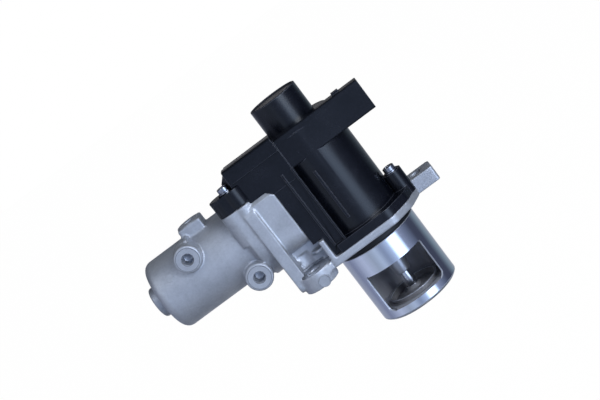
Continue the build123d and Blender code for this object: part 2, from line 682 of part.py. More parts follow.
def cover_screws():
    """The four screws that hold the cover, each with a socket in its head."""
    pieces = []
    for x, y, top, _ in screws():
        screw = rod_z(SCREW_SHANK_RADIUS, top - SCREW_GRIP - SCREW_SHANK_END, top, x, y)
        head = rod_z(SCREW_HEAD_RADIUS, top, top + SCREW_HEAD_HEIGHT, x, y)
        head = fillet(head.edges().filter_by(GeomType.CIRCLE).sort_by(Axis.Z)[-1], SCREW_HEAD_ROUNDING)
        recess = extrude(RegularPolygon(SCREW_RECESS_RADIUS, 6), SCREW_HEAD_HEIGHT)
        pieces.append(screw + head - Pos(x, y, top + SCREW_HEAD_HEIGHT - SCREW_RECESS_DEPTH) * recess)
    return Compound(children=pieces)


def flow_cartridge():
    """Turned and milled aluminium cartridge with its front gas window."""
    body = rod_z(CARTRIDGE_RADIUS, cartridge_low, 0)
    rims = body.edges().filter_by(GeomType.CIRCLE).sort_by(Axis.Z)
    body = chamfer(rims[0], CARTRIDGE_CHAMFER)
    body += rod_z(NECK_RADIUS, roof_low, NECK_HEIGHT)
    body -= rod_z(chamber_radius, floor_top, roof_low)
    body -= rod_z(SEAT_RING_RADIUS, cartridge_low - 1, floor_top + 1)
    body -= rod_z(GUIDE_RADIUS, roof_low - 1, NECK_HEIGHT + 1)
    window_low = floor_top + WINDOW_SILL
    window_high = roof_low - WINDOW_TOP_GAP
    window = block(-WINDOW_HALF_WIDTH, WINDOW_HALF_WIDTH, -CARTRIDGE_RADIUS - 2, 0, window_low, window_high)
    corners = window.edges().filter_by(Axis.Y).group_by(Axis.Z)
    window = fillet(corners[0], WINDOW_LOW_CORNER)
    window = fillet(window.edges().filter_by(Axis.Y).group_by(Axis.Z)[-1], WINDOW_HIGH_CORNER)
    return body - window


def seat_ring():
    """Hardened ring in the floor of the cartridge, with the conical seat on its lower side."""
    low = cartridge_low + SEAT_RECESS
    cone = seat_cone_top - low
    outline = Polyline(
        (SEAT_BORE_RADIUS, floor_top),
        (SEAT_RING_RADIUS, floor_top),
        (SEAT_RING_RADIUS, low),
        (SEAT_BORE_RADIUS + cone, low),
        (SEAT_BORE_RADIUS, seat_cone_top),
        close=True,
    )
    return revolve(Rot(90, 0, 0) * make_face(outline), Axis.Z)


def poppet_head():
    """Valve head with a 45 degree seat face, a little clear of the ring when shut."""
    seat_top = seat_cone_top + SEAT_OVERLAP
    seat_radius = SEAT_BORE_RADIUS - SEAT_OVERLAP - SEAT_CLEARANCE
    low = poppet_low
    margin_top = low + POPPET_MARGIN
    rim_radius = seat_radius + seat_top - margin_top
    outline = Polyline(
        (0, low),
        (rim_radius, low),
        (rim_radius, margin_top),
        (seat_radius, seat_top),
        (STEM_RADIUS + POPPET_HUB, seat_top + POPPET_CROWN / 2),
        (STEM_RADIUS + POPPET_NECK, seat_top + POPPET_CROWN),
        (0, seat_top + POPPET_CROWN),
        close=True,
    )
    head = revolve(Rot(90, 0, 0) * make_face(outline), Axis.Z)
    return head - rod_z(STEM_RADIUS, stem_low, seat_top + POPPET_CROWN + 1)


def valve_stem():
    """Steel stem from the poppet to the sensor magnet."""
    return rod_z(STEM_RADIUS, stem_low, STEM_TOP)


def stem_guide():
    """Long bush that guides the stem through the cartridge roof."""
    nose = Cone(GUIDE_END_RADIUS, GUIDE_RADIUS, GUIDE_REACH, align=(Align.CENTER, Align.CENTER, Align.MIN))
    guide = Pos(0, 0, guide_low) * nose + rod_z(GUIDE_RADIUS, roof_low, GUIDE_TOP)
    guide = chamfer(guide.edges().filter_by(GeomType.CIRCLE).sort_by(Axis.Z)[0], GUIDE_CHAMFER)
    return guide - rod_z(STEM_RADIUS + RUNNING_FIT, guide_low - 1, GUIDE_TOP + 1)


def stem_seal():
    """Lip seal above the guide."""
    seal = rod_z(STEM_SEAL_RADIUS, HUB_TOP - STEM_SEAL_HEIGHT, HUB_TOP)
    return seal - rod_z(STEM_RADIUS + RUNNING_FIT, 0, HUB_TOP + 1)


def flange_seal():
    """Seal ring under the plate, round the neck of the cartridge."""
    width = FLANGE_SEAL_RADIUS - FLANGE_SEAL_INNER
    middle = FLANGE_SEAL_INNER + width / 2
    section = Pos(middle, PLATE_BOTTOM / 2) * Rectangle(width, PLATE_BOTTOM)
    section = fillet(section.vertices(), FLANGE_SEAL_ROUNDING)
    return revolve(Rot(90, 0, 0) * section, Axis.Z)


def cover_gasket():
    """Flat gasket between the plate and the tower."""
    gasket = rod_z(GASKET_RADIUS, PLATE_TOP, PLATE_TOP + GASKET_HEIGHT)
    return gasket - rod_z(GASKET_RADIUS - GASKET_WIDTH, PLATE_TOP - 1, PLATE_TOP + GASKET_HEIGHT + 1)


def stem_rack():
    """Rack on the stem, with a gap at the rack pinion's height when the valve is shut."""
    pitch = pi * RACK_MODULE
    root_y = rack_pitch_y - wheel_dedendum * RACK_MODULE
    tip_y = rack_pitch_y + WHEEL_ADDENDUM * RACK_MODULE
    slope = tan(radians(PRESSURE_ANGLE))
    half_pitch_width = pitch / 4 - BACKLASH / 2
    half_tip = half_pitch_width - WHEEL_ADDENDUM * RACK_MODULE * slope
    half_root = half_pitch_width + wheel_dedendum * RACK_MODULE * slope
    first = OUTPUT_Z - 1.5 * pitch
    low = first - half_root - RACK_END_LAND
    high = first + (RACK_TEETH - 1) * pitch + half_root + RACK_END_LAND
    points = [(-RACK_BACK, low), (root_y, low)]
    for tooth in range(RACK_TEETH):
        z = first + tooth * pitch
        points += [(root_y, z - half_root), (tip_y, z - half_tip)]
        points += [(tip_y, z + half_tip), (root_y, z + half_root)]
    points += [(root_y, high), (-RACK_BACK, high)]
    side = Plane((-RACK_WIDTH / 2, 0, 0), x_dir=(0, 1, 0), z_dir=(1, 0, 0))
    rack = side * extrude(make_face(Polyline(*points, close=True)), RACK_WIDTH)
    return rack - rod_z(STEM_RADIUS, low - 1, high + 1)


def spring_retainer():
    """Plate on the stem that the return spring pushes up."""
    plate = rod_z(RETAINER_RADIUS, RETAINER_TOP - RETAINER_THICKNESS, RETAINER_TOP)
    collar_radius = SPRING_RADIUS - SPRING_WIRE_RADIUS - RETAINER_COLLAR_GAP
    plate += rod_z(collar_radius, RETAINER_TOP - 3 * RETAINER_THICKNESS, RETAINER_TOP)
    return plate - rod_z(STEM_RADIUS, 0, RETAINER_TOP + 1)


def return_spring():
    """Coil spring between the plate and the retainer."""
    low = PLATE_TOP + FACE_GAP + SPRING_WIRE_RADIUS
    high = RETAINER_TOP - RETAINER_THICKNESS - FACE_GAP - SPRING_WIRE_RADIUS
    path = Pos(0, 0, low) * Helix((high - low) / SPRING_TURNS, high - low, SPRING_RADIUS)
    section = Plane(path @ 0, z_dir=path % 0) * Circle(SPRING_WIRE_RADIUS)
    return sweep(section, path, is_frenet=True)


def sensor_magnet():
    """Magnet at the stem's top end, read by the sensor."""
    low = STEM_TOP - MAGNET_SEAT
    magnet = rod_z(MAGNET_RADIUS, low, low + MAGNET_HEIGHT)
    return magnet - rod_z(STEM_RADIUS, 0, STEM_TOP)


def sensor_cap():
    """Round cap over the position sensor."""
    cap = rod_z(CAP_RADIUS, TOWER_TOP, CAP_TOP)
    cap = fillet(cap.edges().filter_by(GeomType.CIRCLE).sort_by(Axis.Z)[-1], CAP_ROUNDING)
    return cap - rod_z(CAP_RADIUS - CAP_WALL, TOWER_TOP - 1, CAP_TOP - CAP_WALL)


def sensor_board():
    """Circuit board under the cap's roof, with the field sensor on it."""
    high = CAP_TOP - CAP_WALL
    low = high - BOARD_THICKNESS
    board = rod_z(CAP_RADIUS - CAP_WALL - LOOSE_FIT, low, high)
    return board + Pos(0, 0, low - SENSOR_THICKNESS / 2) * Box(SENSOR_LENGTH, SENSOR_DEPTH, SENSOR_THICKNESS)


def motor_can():
    """Steel tube that carries the magnets."""
    start = motor_chamber_start
    end = brush_card_start - CAN_END_GAP
    outer = motor_chamber_radius - FACE_GAP
    tube = rod_x(outer, start, end, 0, MOTOR_Z)
    return tube - rod_x(outer - CAN_WALL, start - 1, end + 1, 0, MOTOR_Z)


def motor_magnets():
    """Two arc magnets on the inside of the can."""
    outer = motor_chamber_radius - FACE_GAP - CAN_WALL
    start = core_start - 1
    end = core_end + 1
    ring = rod_x(outer, start, end, 0, MOTOR_Z)
    ring -= rod_x(outer - MAGNET_THICKNESS, start - 1, end + 1, 0, MOTOR_Z)
    half_gap = MAGNET_GAP / 2
    return ring - block(start - 1, end + 1, -half_gap, half_gap, MOTOR_Z - outer - 1, MOTOR_Z + outer + 1)


def core_radius():
    """Armature radius inside the magnets."""
    return motor_chamber_radius - FACE_GAP - CAN_WALL - MAGNET_THICKNESS - AIR_GAP


def armature_core():
    """Slotted iron core on the motor shaft."""
    radius = core_radius()
    core = rod_x(radius, core_start, core_end, 0, MOTOR_Z)
    half_slot = CORE_SLOT_WIDTH / 2
    slot = block(core_start - 1, core_end + 1, -half_slot, half_slot, radius - CORE_SLOT_DEPTH, radius + 1)
    for index in range(CORE_SLOTS):
        core -= Pos(0, 0, MOTOR_Z) * Rot(index * 360 / CORE_SLOTS, 0, 0) * slot
    return core - rod_x(MOTOR_SHAFT_RADIUS, core_start - 1, core_end + 1, 0, MOTOR_Z)


def armature_windings():
    """Copper end turns at both ends of the core."""
    turns = []
    for start in (core_start - WINDING_LENGTH + WINDING_GAP, core_end):
        end = start + WINDING_LENGTH - WINDING_GAP
        ring = rod_x(core_radius() - WINDING_STEP, start, end, 0, MOTOR_Z)
        turns.append(ring - rod_x(MOTOR_SHAFT_RADIUS, start - 1, end + 1, 0, MOTOR_Z))
    return Compound(children=turns)


def commutator():
    """Segmented copper drum for the brushes."""
    end = commutator_start + COMMUTATOR_LENGTH
    drum = rod_x(COMMUTATOR_RADIUS, commutator_start, end, 0, MOTOR_Z)
    half_groove = COMMUTATOR_GROOVE / 2
    groove_low = COMMUTATOR_RADIUS - 2 * COMMUTATOR_GROOVE
    groove_top = COMMUTATOR_RADIUS + 1
    groove = block(commutator_start - 1, end + 1, -half_groove, half_groove, groove_low, groove_top)
    for index in range(CORE_SLOTS):
        drum -= Pos(0, 0, MOTOR_Z) * Rot((index + 0.5) * 360 / CORE_SLOTS, 0, 0) * groove
    return drum - rod_x(MOTOR_SHAFT_RADIUS, commutator_start - 1, end + 1, 0, MOTOR_Z)


def brushes():
    """Two carbon brushes, which stand on the brush card."""
    blocks = []
    for side in (-1, 1):
        inner = side * (COMMUTATOR_RADIUS + FACE_GAP)
        outer = side * (COMMUTATOR_RADIUS + BRUSH_LENGTH)
        front, back = sorted((inner, outer))
        low = MOTOR_Z - BRUSH_WIDTH / 2
        blocks.append(block(commutator_start + 1, brush_card_start, front, back, low, low + BRUSH_WIDTH))
    return Compound(children=blocks)


def brush_card():
    """Insulating card that carries the brushes, against the end plate."""
    radius = motor_chamber_radius - CAN_WALL - 2 * FACE_GAP
    card = rod_x(radius, brush_card_start, end_plate_start, 0, MOTOR_Z)
    return card - rod_x(BEARING_RADIUS, brush_card_start - 1, end_plate_start + 1, 0, MOTOR_Z)


def motor_end_plate():
    """Plate between the motor and the gears, with the front bearing's seat."""
    plate = rod_x(motor_chamber_radius - FACE_GAP, end_plate_start, wall_left, 0, MOTOR_Z)
    return plate - rod_x(BEARING_RADIUS, end_plate_start - 1, wall_left + 1, 0, MOTOR_Z)


def motor_bearing(start):
    """Plain bearing for the motor shaft."""
    bearing = rod_x(BEARING_RADIUS, start, start + BEARING_WIDTH, 0, MOTOR_Z)
    return bearing - rod_x(MOTOR_SHAFT_RADIUS + RUNNING_FIT, start - 1, start + BEARING_WIDTH + 1, 0, MOTOR_Z)


def motor_shaft():
    """Steel shaft of the motor, up to the end of its pinion."""
    return rod_x(MOTOR_SHAFT_RADIUS, rear_bearing_start + SHAFT_END_GAP, stage_one + GEAR_WIDTH, 0, MOTOR_Z)


def motor_pinion():
    """Brass pinion on the motor shaft, a tooth towards the idler."""
    pinion = gear(
        MOTOR_STAGE_MODULE,
        PINION_TEETH,
        PINION_ADDENDUM,
        pinion_dedendum,
        stage_one,
        stage_one + GEAR_WIDTH,
        0,
        MOTOR_Z,
        motor_to_idler,
    )
    return pinion - rod_x(MOTOR_SHAFT_RADIUS, stage_one - 1, stage_one + GEAR_WIDTH + 1, 0, MOTOR_Z)


def idler_gear():
    """Compound gear: its wheel meets the motor pinion, its pinion meets the output gear."""
    wheel = gear(
        MOTOR_STAGE_MODULE,
        IDLER_TEETH,
        WHEEL_ADDENDUM,
        wheel_dedendum,
        stage_one,
        stage_one + GEAR_WIDTH,
        idler_y,
        idler_z,
        motor_to_idler + pi + pi / IDLER_TEETH,
    )
    pinion = gear(
        IDLER_STAGE_MODULE,
        PINION_TEETH,
        PINION_ADDENDUM,
        pinion_dedendum,
        stage_one + GEAR_WIDTH,
        stage_two + GEAR_WIDTH,
        idler_y,
        idler_z,
        idler_to_output,
    )
    bore = rod_x(IDLER_PIN_RADIUS + RUNNING_FIT, stage_one - 1, stage_two + GEAR_WIDTH + 1, idler_y, idler_z)
    return wheel + pinion - bore


def idler_pin():
    """Fixed pin that the idler turns on."""
    return rod_x(IDLER_PIN_RADIUS, gear_left - IDLER_PIN_SEAT, gear_right + IDLER_PIN_SEAT, idler_y, idler_z)


def output_gear():
    """Wheel at the left end of the output shaft."""
    wheel = gear(
        IDLER_STAGE_MODULE,
        OUTPUT_TEETH,
        WHEEL_ADDENDUM,
        wheel_dedendum,
        stage_two,
        stage_two + GEAR_WIDTH,
        OUTPUT_Y,
        OUTPUT_Z,
        idler_to_output + pi + pi / OUTPUT_TEETH,
    )
    return wheel - rod_x(OUTPUT_SHAFT_RADIUS, stage_two - 1, gear_right, OUTPUT_Y, OUTPUT_Z)


def output_shaft():
    """Steel shaft from the output gear to the bush beyond the rack."""
    return rod_x(OUTPUT_SHAFT_RADIUS, stage_two, RACK_WIDTH / 2 + RACK_ROOM + BUSH_LENGTH, OUTPUT_Y, OUTPUT_Z)


def rack_pinion():
    """Pinion on the output shaft, a tooth towards the rack."""
    half = RACK_WIDTH / 2
    pinion = gear(
        RACK_MODULE,
        RACK_PINION_TEETH,
        PINION_ADDENDUM,
        pinion_dedendum,
        -half,
        half,
        OUTPUT_Y,
        OUTPUT_Z,
        pi,
    )
    return pinion - rod_x(OUTPUT_SHAFT_RADIUS, -half - 1, half + 1, OUTPUT_Y, OUTPUT_Z)


def shaft_bush(start):
    """Plain bush for the output shaft."""
    end = start + BUSH_LENGTH
    bore_radius = OUTPUT_SHAFT_RADIUS + RUNNING_FIT
    bush = rod_x(bore_radius + BUSH_WALL, start, end, OUTPUT_Y, OUTPUT_Z)
    return bush - rod_x(bore_radius, start - 1, end + 1, OUTPUT_Y, OUTPUT_Z)


def shaft_bushes():
    """The bush in the casting's inner wall and the one in the cover."""
    return Compound(children=[shaft_bush(gear_right), shaft_bush(RACK_WIDTH / 2 + RACK_ROOM)])


PIECES = {
    "body_casting": body_casting,
    "drive_cover": drive_cover,
    "sensor_cap": sensor_cap,
    "sensor_board": sensor_board,
    "connector_pins": connector_pins,
    "cover_screws": cover_screws,
    "cover_gasket": cover_gasket,
    "flow_cartridge": flow_cartridge,
    "seat_ring": seat_ring,
    "stem_guide": stem_guide,
    "stem_seal": stem_seal,
    "flange_seal": flange_seal,
    "return_spring": return_spring,
    "motor_can": motor_can,
    "motor_magnets": motor_magnets,
    "brushes": brushes,
    "brush_card": brush_card,
    "motor_end_plate": motor_end_plate,
    "rear_bearing": lambda: motor_bearing(rear_bearing_start),
    "front_bearing": lambda: motor_bearing(front_bearing_start),
    "idler_pin": idler_pin,
    "shaft_bushes": shaft_bushes,
    "motor_shaft": motor_shaft,
    "armature_core": armature_core,
    "armature_windings": armature_windings,
    "commutator": commutator,
    "motor_pinion": motor_pinion,
    "idler_gear": idler_gear,
    "output_gear": output_gear,
    "output_shaft": output_shaft,
    "rack_pinion": rack_pinion,
    "valve_stem": valve_stem,
    "poppet_head": poppet_head,
    "stem_rack": stem_rack,
    "spring_retainer": spring_retainer,
    "sensor_magnet": sensor_magnet,
}

os.makedirs("parts", exist_ok=True)
for name, make in PIECES.items():
    export_step(make(), f"parts/{name}.step")
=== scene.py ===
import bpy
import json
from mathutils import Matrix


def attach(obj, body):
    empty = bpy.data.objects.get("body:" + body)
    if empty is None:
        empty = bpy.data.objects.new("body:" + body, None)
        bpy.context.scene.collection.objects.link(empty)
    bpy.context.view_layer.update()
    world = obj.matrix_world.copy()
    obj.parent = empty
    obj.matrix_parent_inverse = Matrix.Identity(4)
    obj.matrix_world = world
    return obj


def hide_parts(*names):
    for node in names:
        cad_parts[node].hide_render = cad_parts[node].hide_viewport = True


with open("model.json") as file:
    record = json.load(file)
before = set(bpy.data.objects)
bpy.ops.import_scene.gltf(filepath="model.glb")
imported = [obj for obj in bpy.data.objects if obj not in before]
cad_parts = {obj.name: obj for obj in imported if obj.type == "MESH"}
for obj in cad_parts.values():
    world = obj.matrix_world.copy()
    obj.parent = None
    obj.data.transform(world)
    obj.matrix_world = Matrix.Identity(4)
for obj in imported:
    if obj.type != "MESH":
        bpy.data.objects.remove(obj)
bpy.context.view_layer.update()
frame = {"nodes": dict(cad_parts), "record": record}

import json
import logging
from collections.abc import Callable, Iterable
from dataclasses import dataclass
from enum import Enum
from math import cos, pi, radians, sin

import bmesh
import bpy
from mathutils import Euler, Matrix, Vector

logging.basicConfig(level=logging.INFO, format="%(message)s")
LOG = logging.getLogger("valve")
MM = 0.001
HOUSING = "housing"

Tree = bpy.types.NodeTree
Socket = bpy.types.NodeSocket
Piece = bpy.types.Object
Pair = tuple[float, float]
Triple = tuple[float, float, float]
FaceTest = Callable[[Vector, Vector], bool]

# Directions and faces
ORIGIN = (0.0, 0.0, 0.0)
UP = Vector((0.0, 0.0, 1.0))
DOWN = Vector((0.0, 0.0, -1.0))
FRONT = Vector((0.0, -1.0, 0.0))
FACING = 0.9

# Numbers of a piece's finishes
NEIGHBOURS = -1
MAIN = 0
RIM = 1
INNER = 2

# Modelling: angles in degrees, lengths in millimetres
CORNER_ANGLE = 32.0
CHOSEN_ANGLE = 30.0
CHOSEN_STEPS = 3
FLAT_ANGLE = 0.8
WELD_REACH = 0.004
SLIVER_REACH = 0.01
HOLE_SIDES = 48
SMOOTHING = 0.5

# Shares and scales of the shared shader groups
FLOAT = "NodeSocketFloat"
COLOUR = "NodeSocketColor"
VECTOR = "NodeSocketVector"
FINE_FACTOR = 9.0
BROAD_SHARE = 0.7
CLOUD_LIMITS = (0.35, 0.65)
GRAIN_SHARE = 0.5
CELL_FACTOR = 0.35
CELL_LIMIT = 0.35
RIPPLE_FACTOR = 0.06
MARK_SQUEEZE = (0.02, 0.02, 1.0)
BAND_SQUEEZE = (1.0, 1.0, 0.03)
BAND_SCALE = 150.0
BAND_LIMITS = (0.40, 0.62)
LINE_SHARE = 0.25


class Axis(Enum):
    """Direction that a piece is turned or drawn along."""

    X = (0.0, radians(90), 0.0)
    Y = (radians(-90), 0.0, 0.0)
    Z = (0.0, 0.0, 0.0)


def new_group(name: str, inputs: dict[str, str], outputs: dict[str, str]) -> Tree:
    """Starts a shader group with its named sockets.

    Args:
        name: Name of the group.
        inputs: Input sockets with their types.
        outputs: Output sockets with their types.

    Returns:
        The empty group, with its input and output nodes in place.
    """
    tree = bpy.data.node_groups.new(name, "ShaderNodeTree")
    for way, sockets in (("INPUT", inputs), ("OUTPUT", outputs)):
        for socket, kind in sockets.items():
            tree.interface.new_socket(socket, in_out=way, socket_type=kind)
    tree.nodes.new("NodeGroupInput").name = "in"
    tree.nodes.new("NodeGroupOutput").name = "out"
    return tree


def add_node(tree: Tree, kind: str, links: dict[str, object], **settings: object) -> bpy.types.Node:
    """Adds a node, sets its options and feeds its inputs.

    Args:
        tree: The node tree that gets the node.
        kind: Blender's name of the node type.
        links: Input names or numbers, with a socket to link or a value to set.
        **settings: Options of the node.

    Returns:
        The new node.
    """
    node = tree.nodes.new(kind)
    for key, value in settings.items():
        setattr(node, key, value)
    for key, value in links.items():
        socket = node.inputs[key]
        if isinstance(value, Socket):
            tree.links.new(value, socket)
        else:
            socket.default_value = value
    return node


def close_group(tree: Tree, results: dict[str, Socket]) -> Tree:
    """Links a group's results to its output node.

    Args:
        tree: The group.
        results: Output names with the sockets that feed them.

    Returns:
        The finished group.
    """
    for name, socket in results.items():
        tree.links.new(socket, tree.nodes["out"].inputs[name])
    return tree


def math_node(tree: Tree, operation: str, first: object, second: object = 0.0) -> Socket:
    """Adds a math node.

    Args:
        tree: Where the node goes.
        operation: Name of the operation.
        first: First value or socket.
        second: Second value or socket.

    Returns:
        The result's socket.
    """
    return add_node(tree, "ShaderNodeMath", {0: first, 1: second}, operation=operation).outputs[0]


def noise_node(tree: Tree, vector: object, scale: object, detail: float, rough: float) -> Socket:
    """Adds a noise texture.

    Args:
        tree: Where the node goes.
        vector: Socket of the place.
        scale: Scale or its socket.
        detail: Number of finer layers.
        rough: Weight of the finer layers.

    Returns:
        The socket of its grey tone.
    """
    links = {"Vector": vector, "Scale": scale, "Detail": detail, "Roughness": rough}
    return add_node(tree, "ShaderNodeTexNoise", links).outputs[0]


def range_node(tree: Tree, value: object, limits: Pair, low: float = 0.0, high: float = 1.0) -> Socket:
    """Adds a node that spreads what lies between two limits over a new range.

    Args:
        tree: Where the node goes.
        value: Socket of the value.
        limits: The two limits.
        low: Result at the first limit.
        high: Result at the second limit.

    Returns:
        The result's socket.
    """
    links = {"Value": value, "From Min": limits[0], "From Max": limits[1], "To Min": low, "To Max": high}
    return add_node(tree, "ShaderNodeMapRange", links).outputs[0]


def mix_node(tree: Tree, share: object, first: object, second: object) -> Socket:
    """Adds a node that mixes two colours.

    Args:
        tree: Where the node goes.
        share: Share of the second colour, or its socket.
        first: First colour or its socket.
        second: Second colour or its socket.

    Returns:
        The mixed colour's socket.
    """
    return add_node(tree, "ShaderNodeMix", {0: share, 6: first, 7: second}, data_type="RGBA").outputs[2]


def make_tone_group() -> Tree:
    """Builds the group that clouds a colour and a roughness over the surface.

    Returns:
        The group.
    """
    inputs = {"Vector": VECTOR, "Base": COLOUR, "Cloud": COLOUR}
    inputs |= dict.fromkeys(("Scale", "Roughness", "Spread"), FLOAT)
    tree = new_group("surface_tone", inputs, {"Color": COLOUR, "Roughness": FLOAT})
    given = tree.nodes["in"].outputs
    broad = noise_node(tree, given["Vector"], given["Scale"], detail=4.0, rough=0.6)
    fine_scale = math_node(tree, "MULTIPLY", given["Scale"], FINE_FACTOR)
    fine = noise_node(tree, given["Vector"], fine_scale, detail=3.0, rough=0.5)
    broad_part = math_node(tree, "MULTIPLY", broad, BROAD_SHARE)
    fine_part = math_node(tree, "MULTIPLY", fine, 1.0 - BROAD_SHARE)
    spread = range_node(tree, math_node(tree, "ADD", broad_part, fine_part), CLOUD_LIMITS)
    colour = mix_node(tree, spread, given["Base"], given["Cloud"])
    shift = math_node(tree, "MULTIPLY", math_node(tree, "SUBTRACT", spread, 0.5), given["Spread"])
    rough = math_node(tree, "ADD", given["Roughness"], shift)
    return close_group(tree, {"Color": colour, "Roughness": rough})


def make_grain_group() -> Tree:
    """Builds the group of the fine cast or moulded grain, with shallow pits.

    Returns:
        The group.
    """
    inputs = {"Vector": VECTOR, "Scale": FLOAT, "Pits": FLOAT, "Ripple": FLOAT}
    tree = new_group("surface_grain", inputs, {"Height": FLOAT})
    given = tree.nodes["in"].outputs
    fine = noise_node(tree, given["Vector"], given["Scale"], detail=2.0, rough=0.55)
    cell_scale = math_node(tree, "MULTIPLY", given["Scale"], CELL_FACTOR)
    cells = add_node(tree, "ShaderNodeTexVoronoi", {"Vector": given["Vector"], "Scale": cell_scale})
    shallow = math_node(tree, "MINIMUM", cells.outputs["Distance"], CELL_LIMIT)
    pits = math_node(tree, "MULTIPLY", shallow, given["Pits"])
    ripple_scale = math_node(tree, "MULTIPLY", given["Scale"], RIPPLE_FACTOR)
    broad = noise_node(tree, given["Vector"], ripple_scale, detail=2.0, rough=0.5)
    height = math_node(tree, "ADD", math_node(tree, "MULTIPLY", fine, GRAIN_SHARE), pits)
    height = math_node(tree, "ADD", height, math_node(tree, "MULTIPLY", broad, given["Ripple"]))
    return close_group(tree, {"Height": height})


def make_turned_group() -> Tree:
    """Builds the group of tool marks that run round the Z axis, with soft bands along it.

    Returns:
        The group.
    """
    inputs = {"Vector": VECTOR, "Pitch": FLOAT, "Band": FLOAT, "Base": COLOUR, "Shade": COLOUR}
    tree = new_group("turned_marks", inputs, {"Height": FLOAT, "Color": COLOUR, "Mask": FLOAT})
    given = tree.nodes["in"].outputs
    flat = add_node(tree, "ShaderNodeMapping", {"Vector": given["Vector"], "Scale": MARK_SQUEEZE}).outputs[0]
    lines = noise_node(tree, flat, given["Pitch"], detail=3.0, rough=0.7)
    tall = add_node(tree, "ShaderNodeMapping", {"Vector": given["Vector"], "Scale": BAND_SQUEEZE}).outputs[0]
    bands = noise_node(tree, tall, BAND_SCALE, detail=2.0, rough=0.5)
    mask = math_node(tree, "MULTIPLY", range_node(tree, bands, BAND_LIMITS), given["Band"])
    mask = math_node(tree, "ADD", mask, math_node(tree, "MULTIPLY", lines, LINE_SHARE))
    colour = mix_node(tree, mask, given["Base"], given["Shade"])
    return close_group(tree, {"Height": lines, "Color": colour, "Mask": mask})


GROUPS: dict[str, Tree] = {}


def group_node(tree: Tree, name: str, links: dict[str, object]) -> bpy.types.Node:
    """Places a shared group in a material.

    Args:
        tree: Node tree of the material.
        name: Name of the group.
        links: Input names, with a socket to link or a value to set.

    Returns:
        The group's node.
    """
    return add_node(tree, "ShaderNodeGroup", links, node_tree=GROUPS[name])


@dataclass(frozen=True)
class Finish:
    """A surface whose colour clouds softly and which carries a grain.

    Attributes:
        name: Name of the material.
        base: Main colour.
        cloud: Triple of the softly mixed patches.
        metallic: How metallic the surface is.
        roughness: Middle roughness.
        spread: How far the roughness varies.
        clouds: Patches per metre.
        grain: Grain per metre.
        depth: Depth of the grain in metres.
        pits: Share of shallow pits in the grain.
        ripple: Share of broad waviness.
        specular: Specular level.
        coat: Weight of a thin clear coat.
        relief: Strength of the grain's shading.
    """

    name: str
    base: Triple
    cloud: Triple
    metallic: float = 0.0
    roughness: float = 0.5
    spread: float = 0.12
    clouds: float = 110.0
    grain: float = 2200.0
    depth: float = 0.00008
    pits: float = 0.3
    ripple: float = 0.3
    specular: float = 0.5
    coat: float = 0.0
    relief: float = 0.6

    def build(self) -> bpy.types.Material:
        """Makes the material.

        Returns:
            The finished material.
        """
        material = bpy.data.materials.new(self.name)
        material.use_nodes = True
        material.diffuse_color = (*self.base, 1.0)
        tree = material.node_tree
        shader = tree.nodes["Principled BSDF"]
        shader.inputs["Metallic"].default_value = self.metallic
        shader.inputs["Specular IOR Level"].default_value = self.specular
        shader.inputs["Coat Weight"].default_value = self.coat
        place = tree.nodes.new("ShaderNodeTexCoord").outputs["Object"]
        colour, rough, height = self.surface(tree, place)
        bump = {"Height": height, "Strength": self.relief, "Distance": self.depth}
        tree.links.new(colour, shader.inputs["Base Color"])
        tree.links.new(rough, shader.inputs["Roughness"])
        tree.links.new(add_node(tree, "ShaderNodeBump", bump).outputs[0], shader.inputs["Normal"])
        return material

    def surface(self, tree: Tree, place: Socket) -> tuple[Socket, ...]:
        """Places the shared groups of a cast, moulded or ground surface.

        Args:
            tree: Node tree of the material.
            place: Object coordinates.

        Returns:
            The sockets of its colour, roughness and height.
        """
        clouded = {"Vector": place, "Base": (*self.base, 1.0), "Cloud": (*self.cloud, 1.0)}
        clouded |= {"Scale": self.clouds, "Roughness": self.roughness, "Spread": self.spread}
        tone = group_node(tree, "surface_tone", clouded).outputs
        grained = {"Vector": place, "Scale": self.grain, "Pits": self.pits, "Ripple": self.ripple}
        height = group_node(tree, "surface_grain", grained).outputs["Height"]
        return tone["Color"], tone["Roughness"], height


@dataclass(frozen=True)
class TurnedFinish(Finish):
    """A lathe-turned or ground metal with tool marks round its axis.

    Attributes:
        axis: The axis that the marks run round.
        pitch: Tool marks per metre.
        band: Strength of the soft bands along the axis.
    """

    relief: float = 0.5
    axis: Axis = Axis.Z
    pitch: float = 2600.0
    band: float = 0.5

    def surface(self, tree: Tree, place: Socket) -> tuple[Socket, ...]:
        """Places the shared group of a turned surface.

        Args:
            tree: Node tree of the material.
            place: Object coordinates.

        Returns:
            The sockets of its colour, roughness and height.
        """
        turn = tuple(-angle for angle in self.axis.value)
        turned = add_node(tree, "ShaderNodeMapping", {"Vector": place, "Rotation": turn}).outputs[0]
        marked = {"Vector": turned, "Pitch": self.pitch, "Band": self.band}
        marked |= {"Base": (*self.base, 1.0), "Shade": (*self.cloud, 1.0)}
        marks = group_node(tree, "turned_marks", marked).outputs
        worn = math_node(tree, "MULTIPLY", marks["Mask"], self.spread)
        return marks["Color"], math_node(tree, "ADD", worn, self.roughness), marks["Height"]


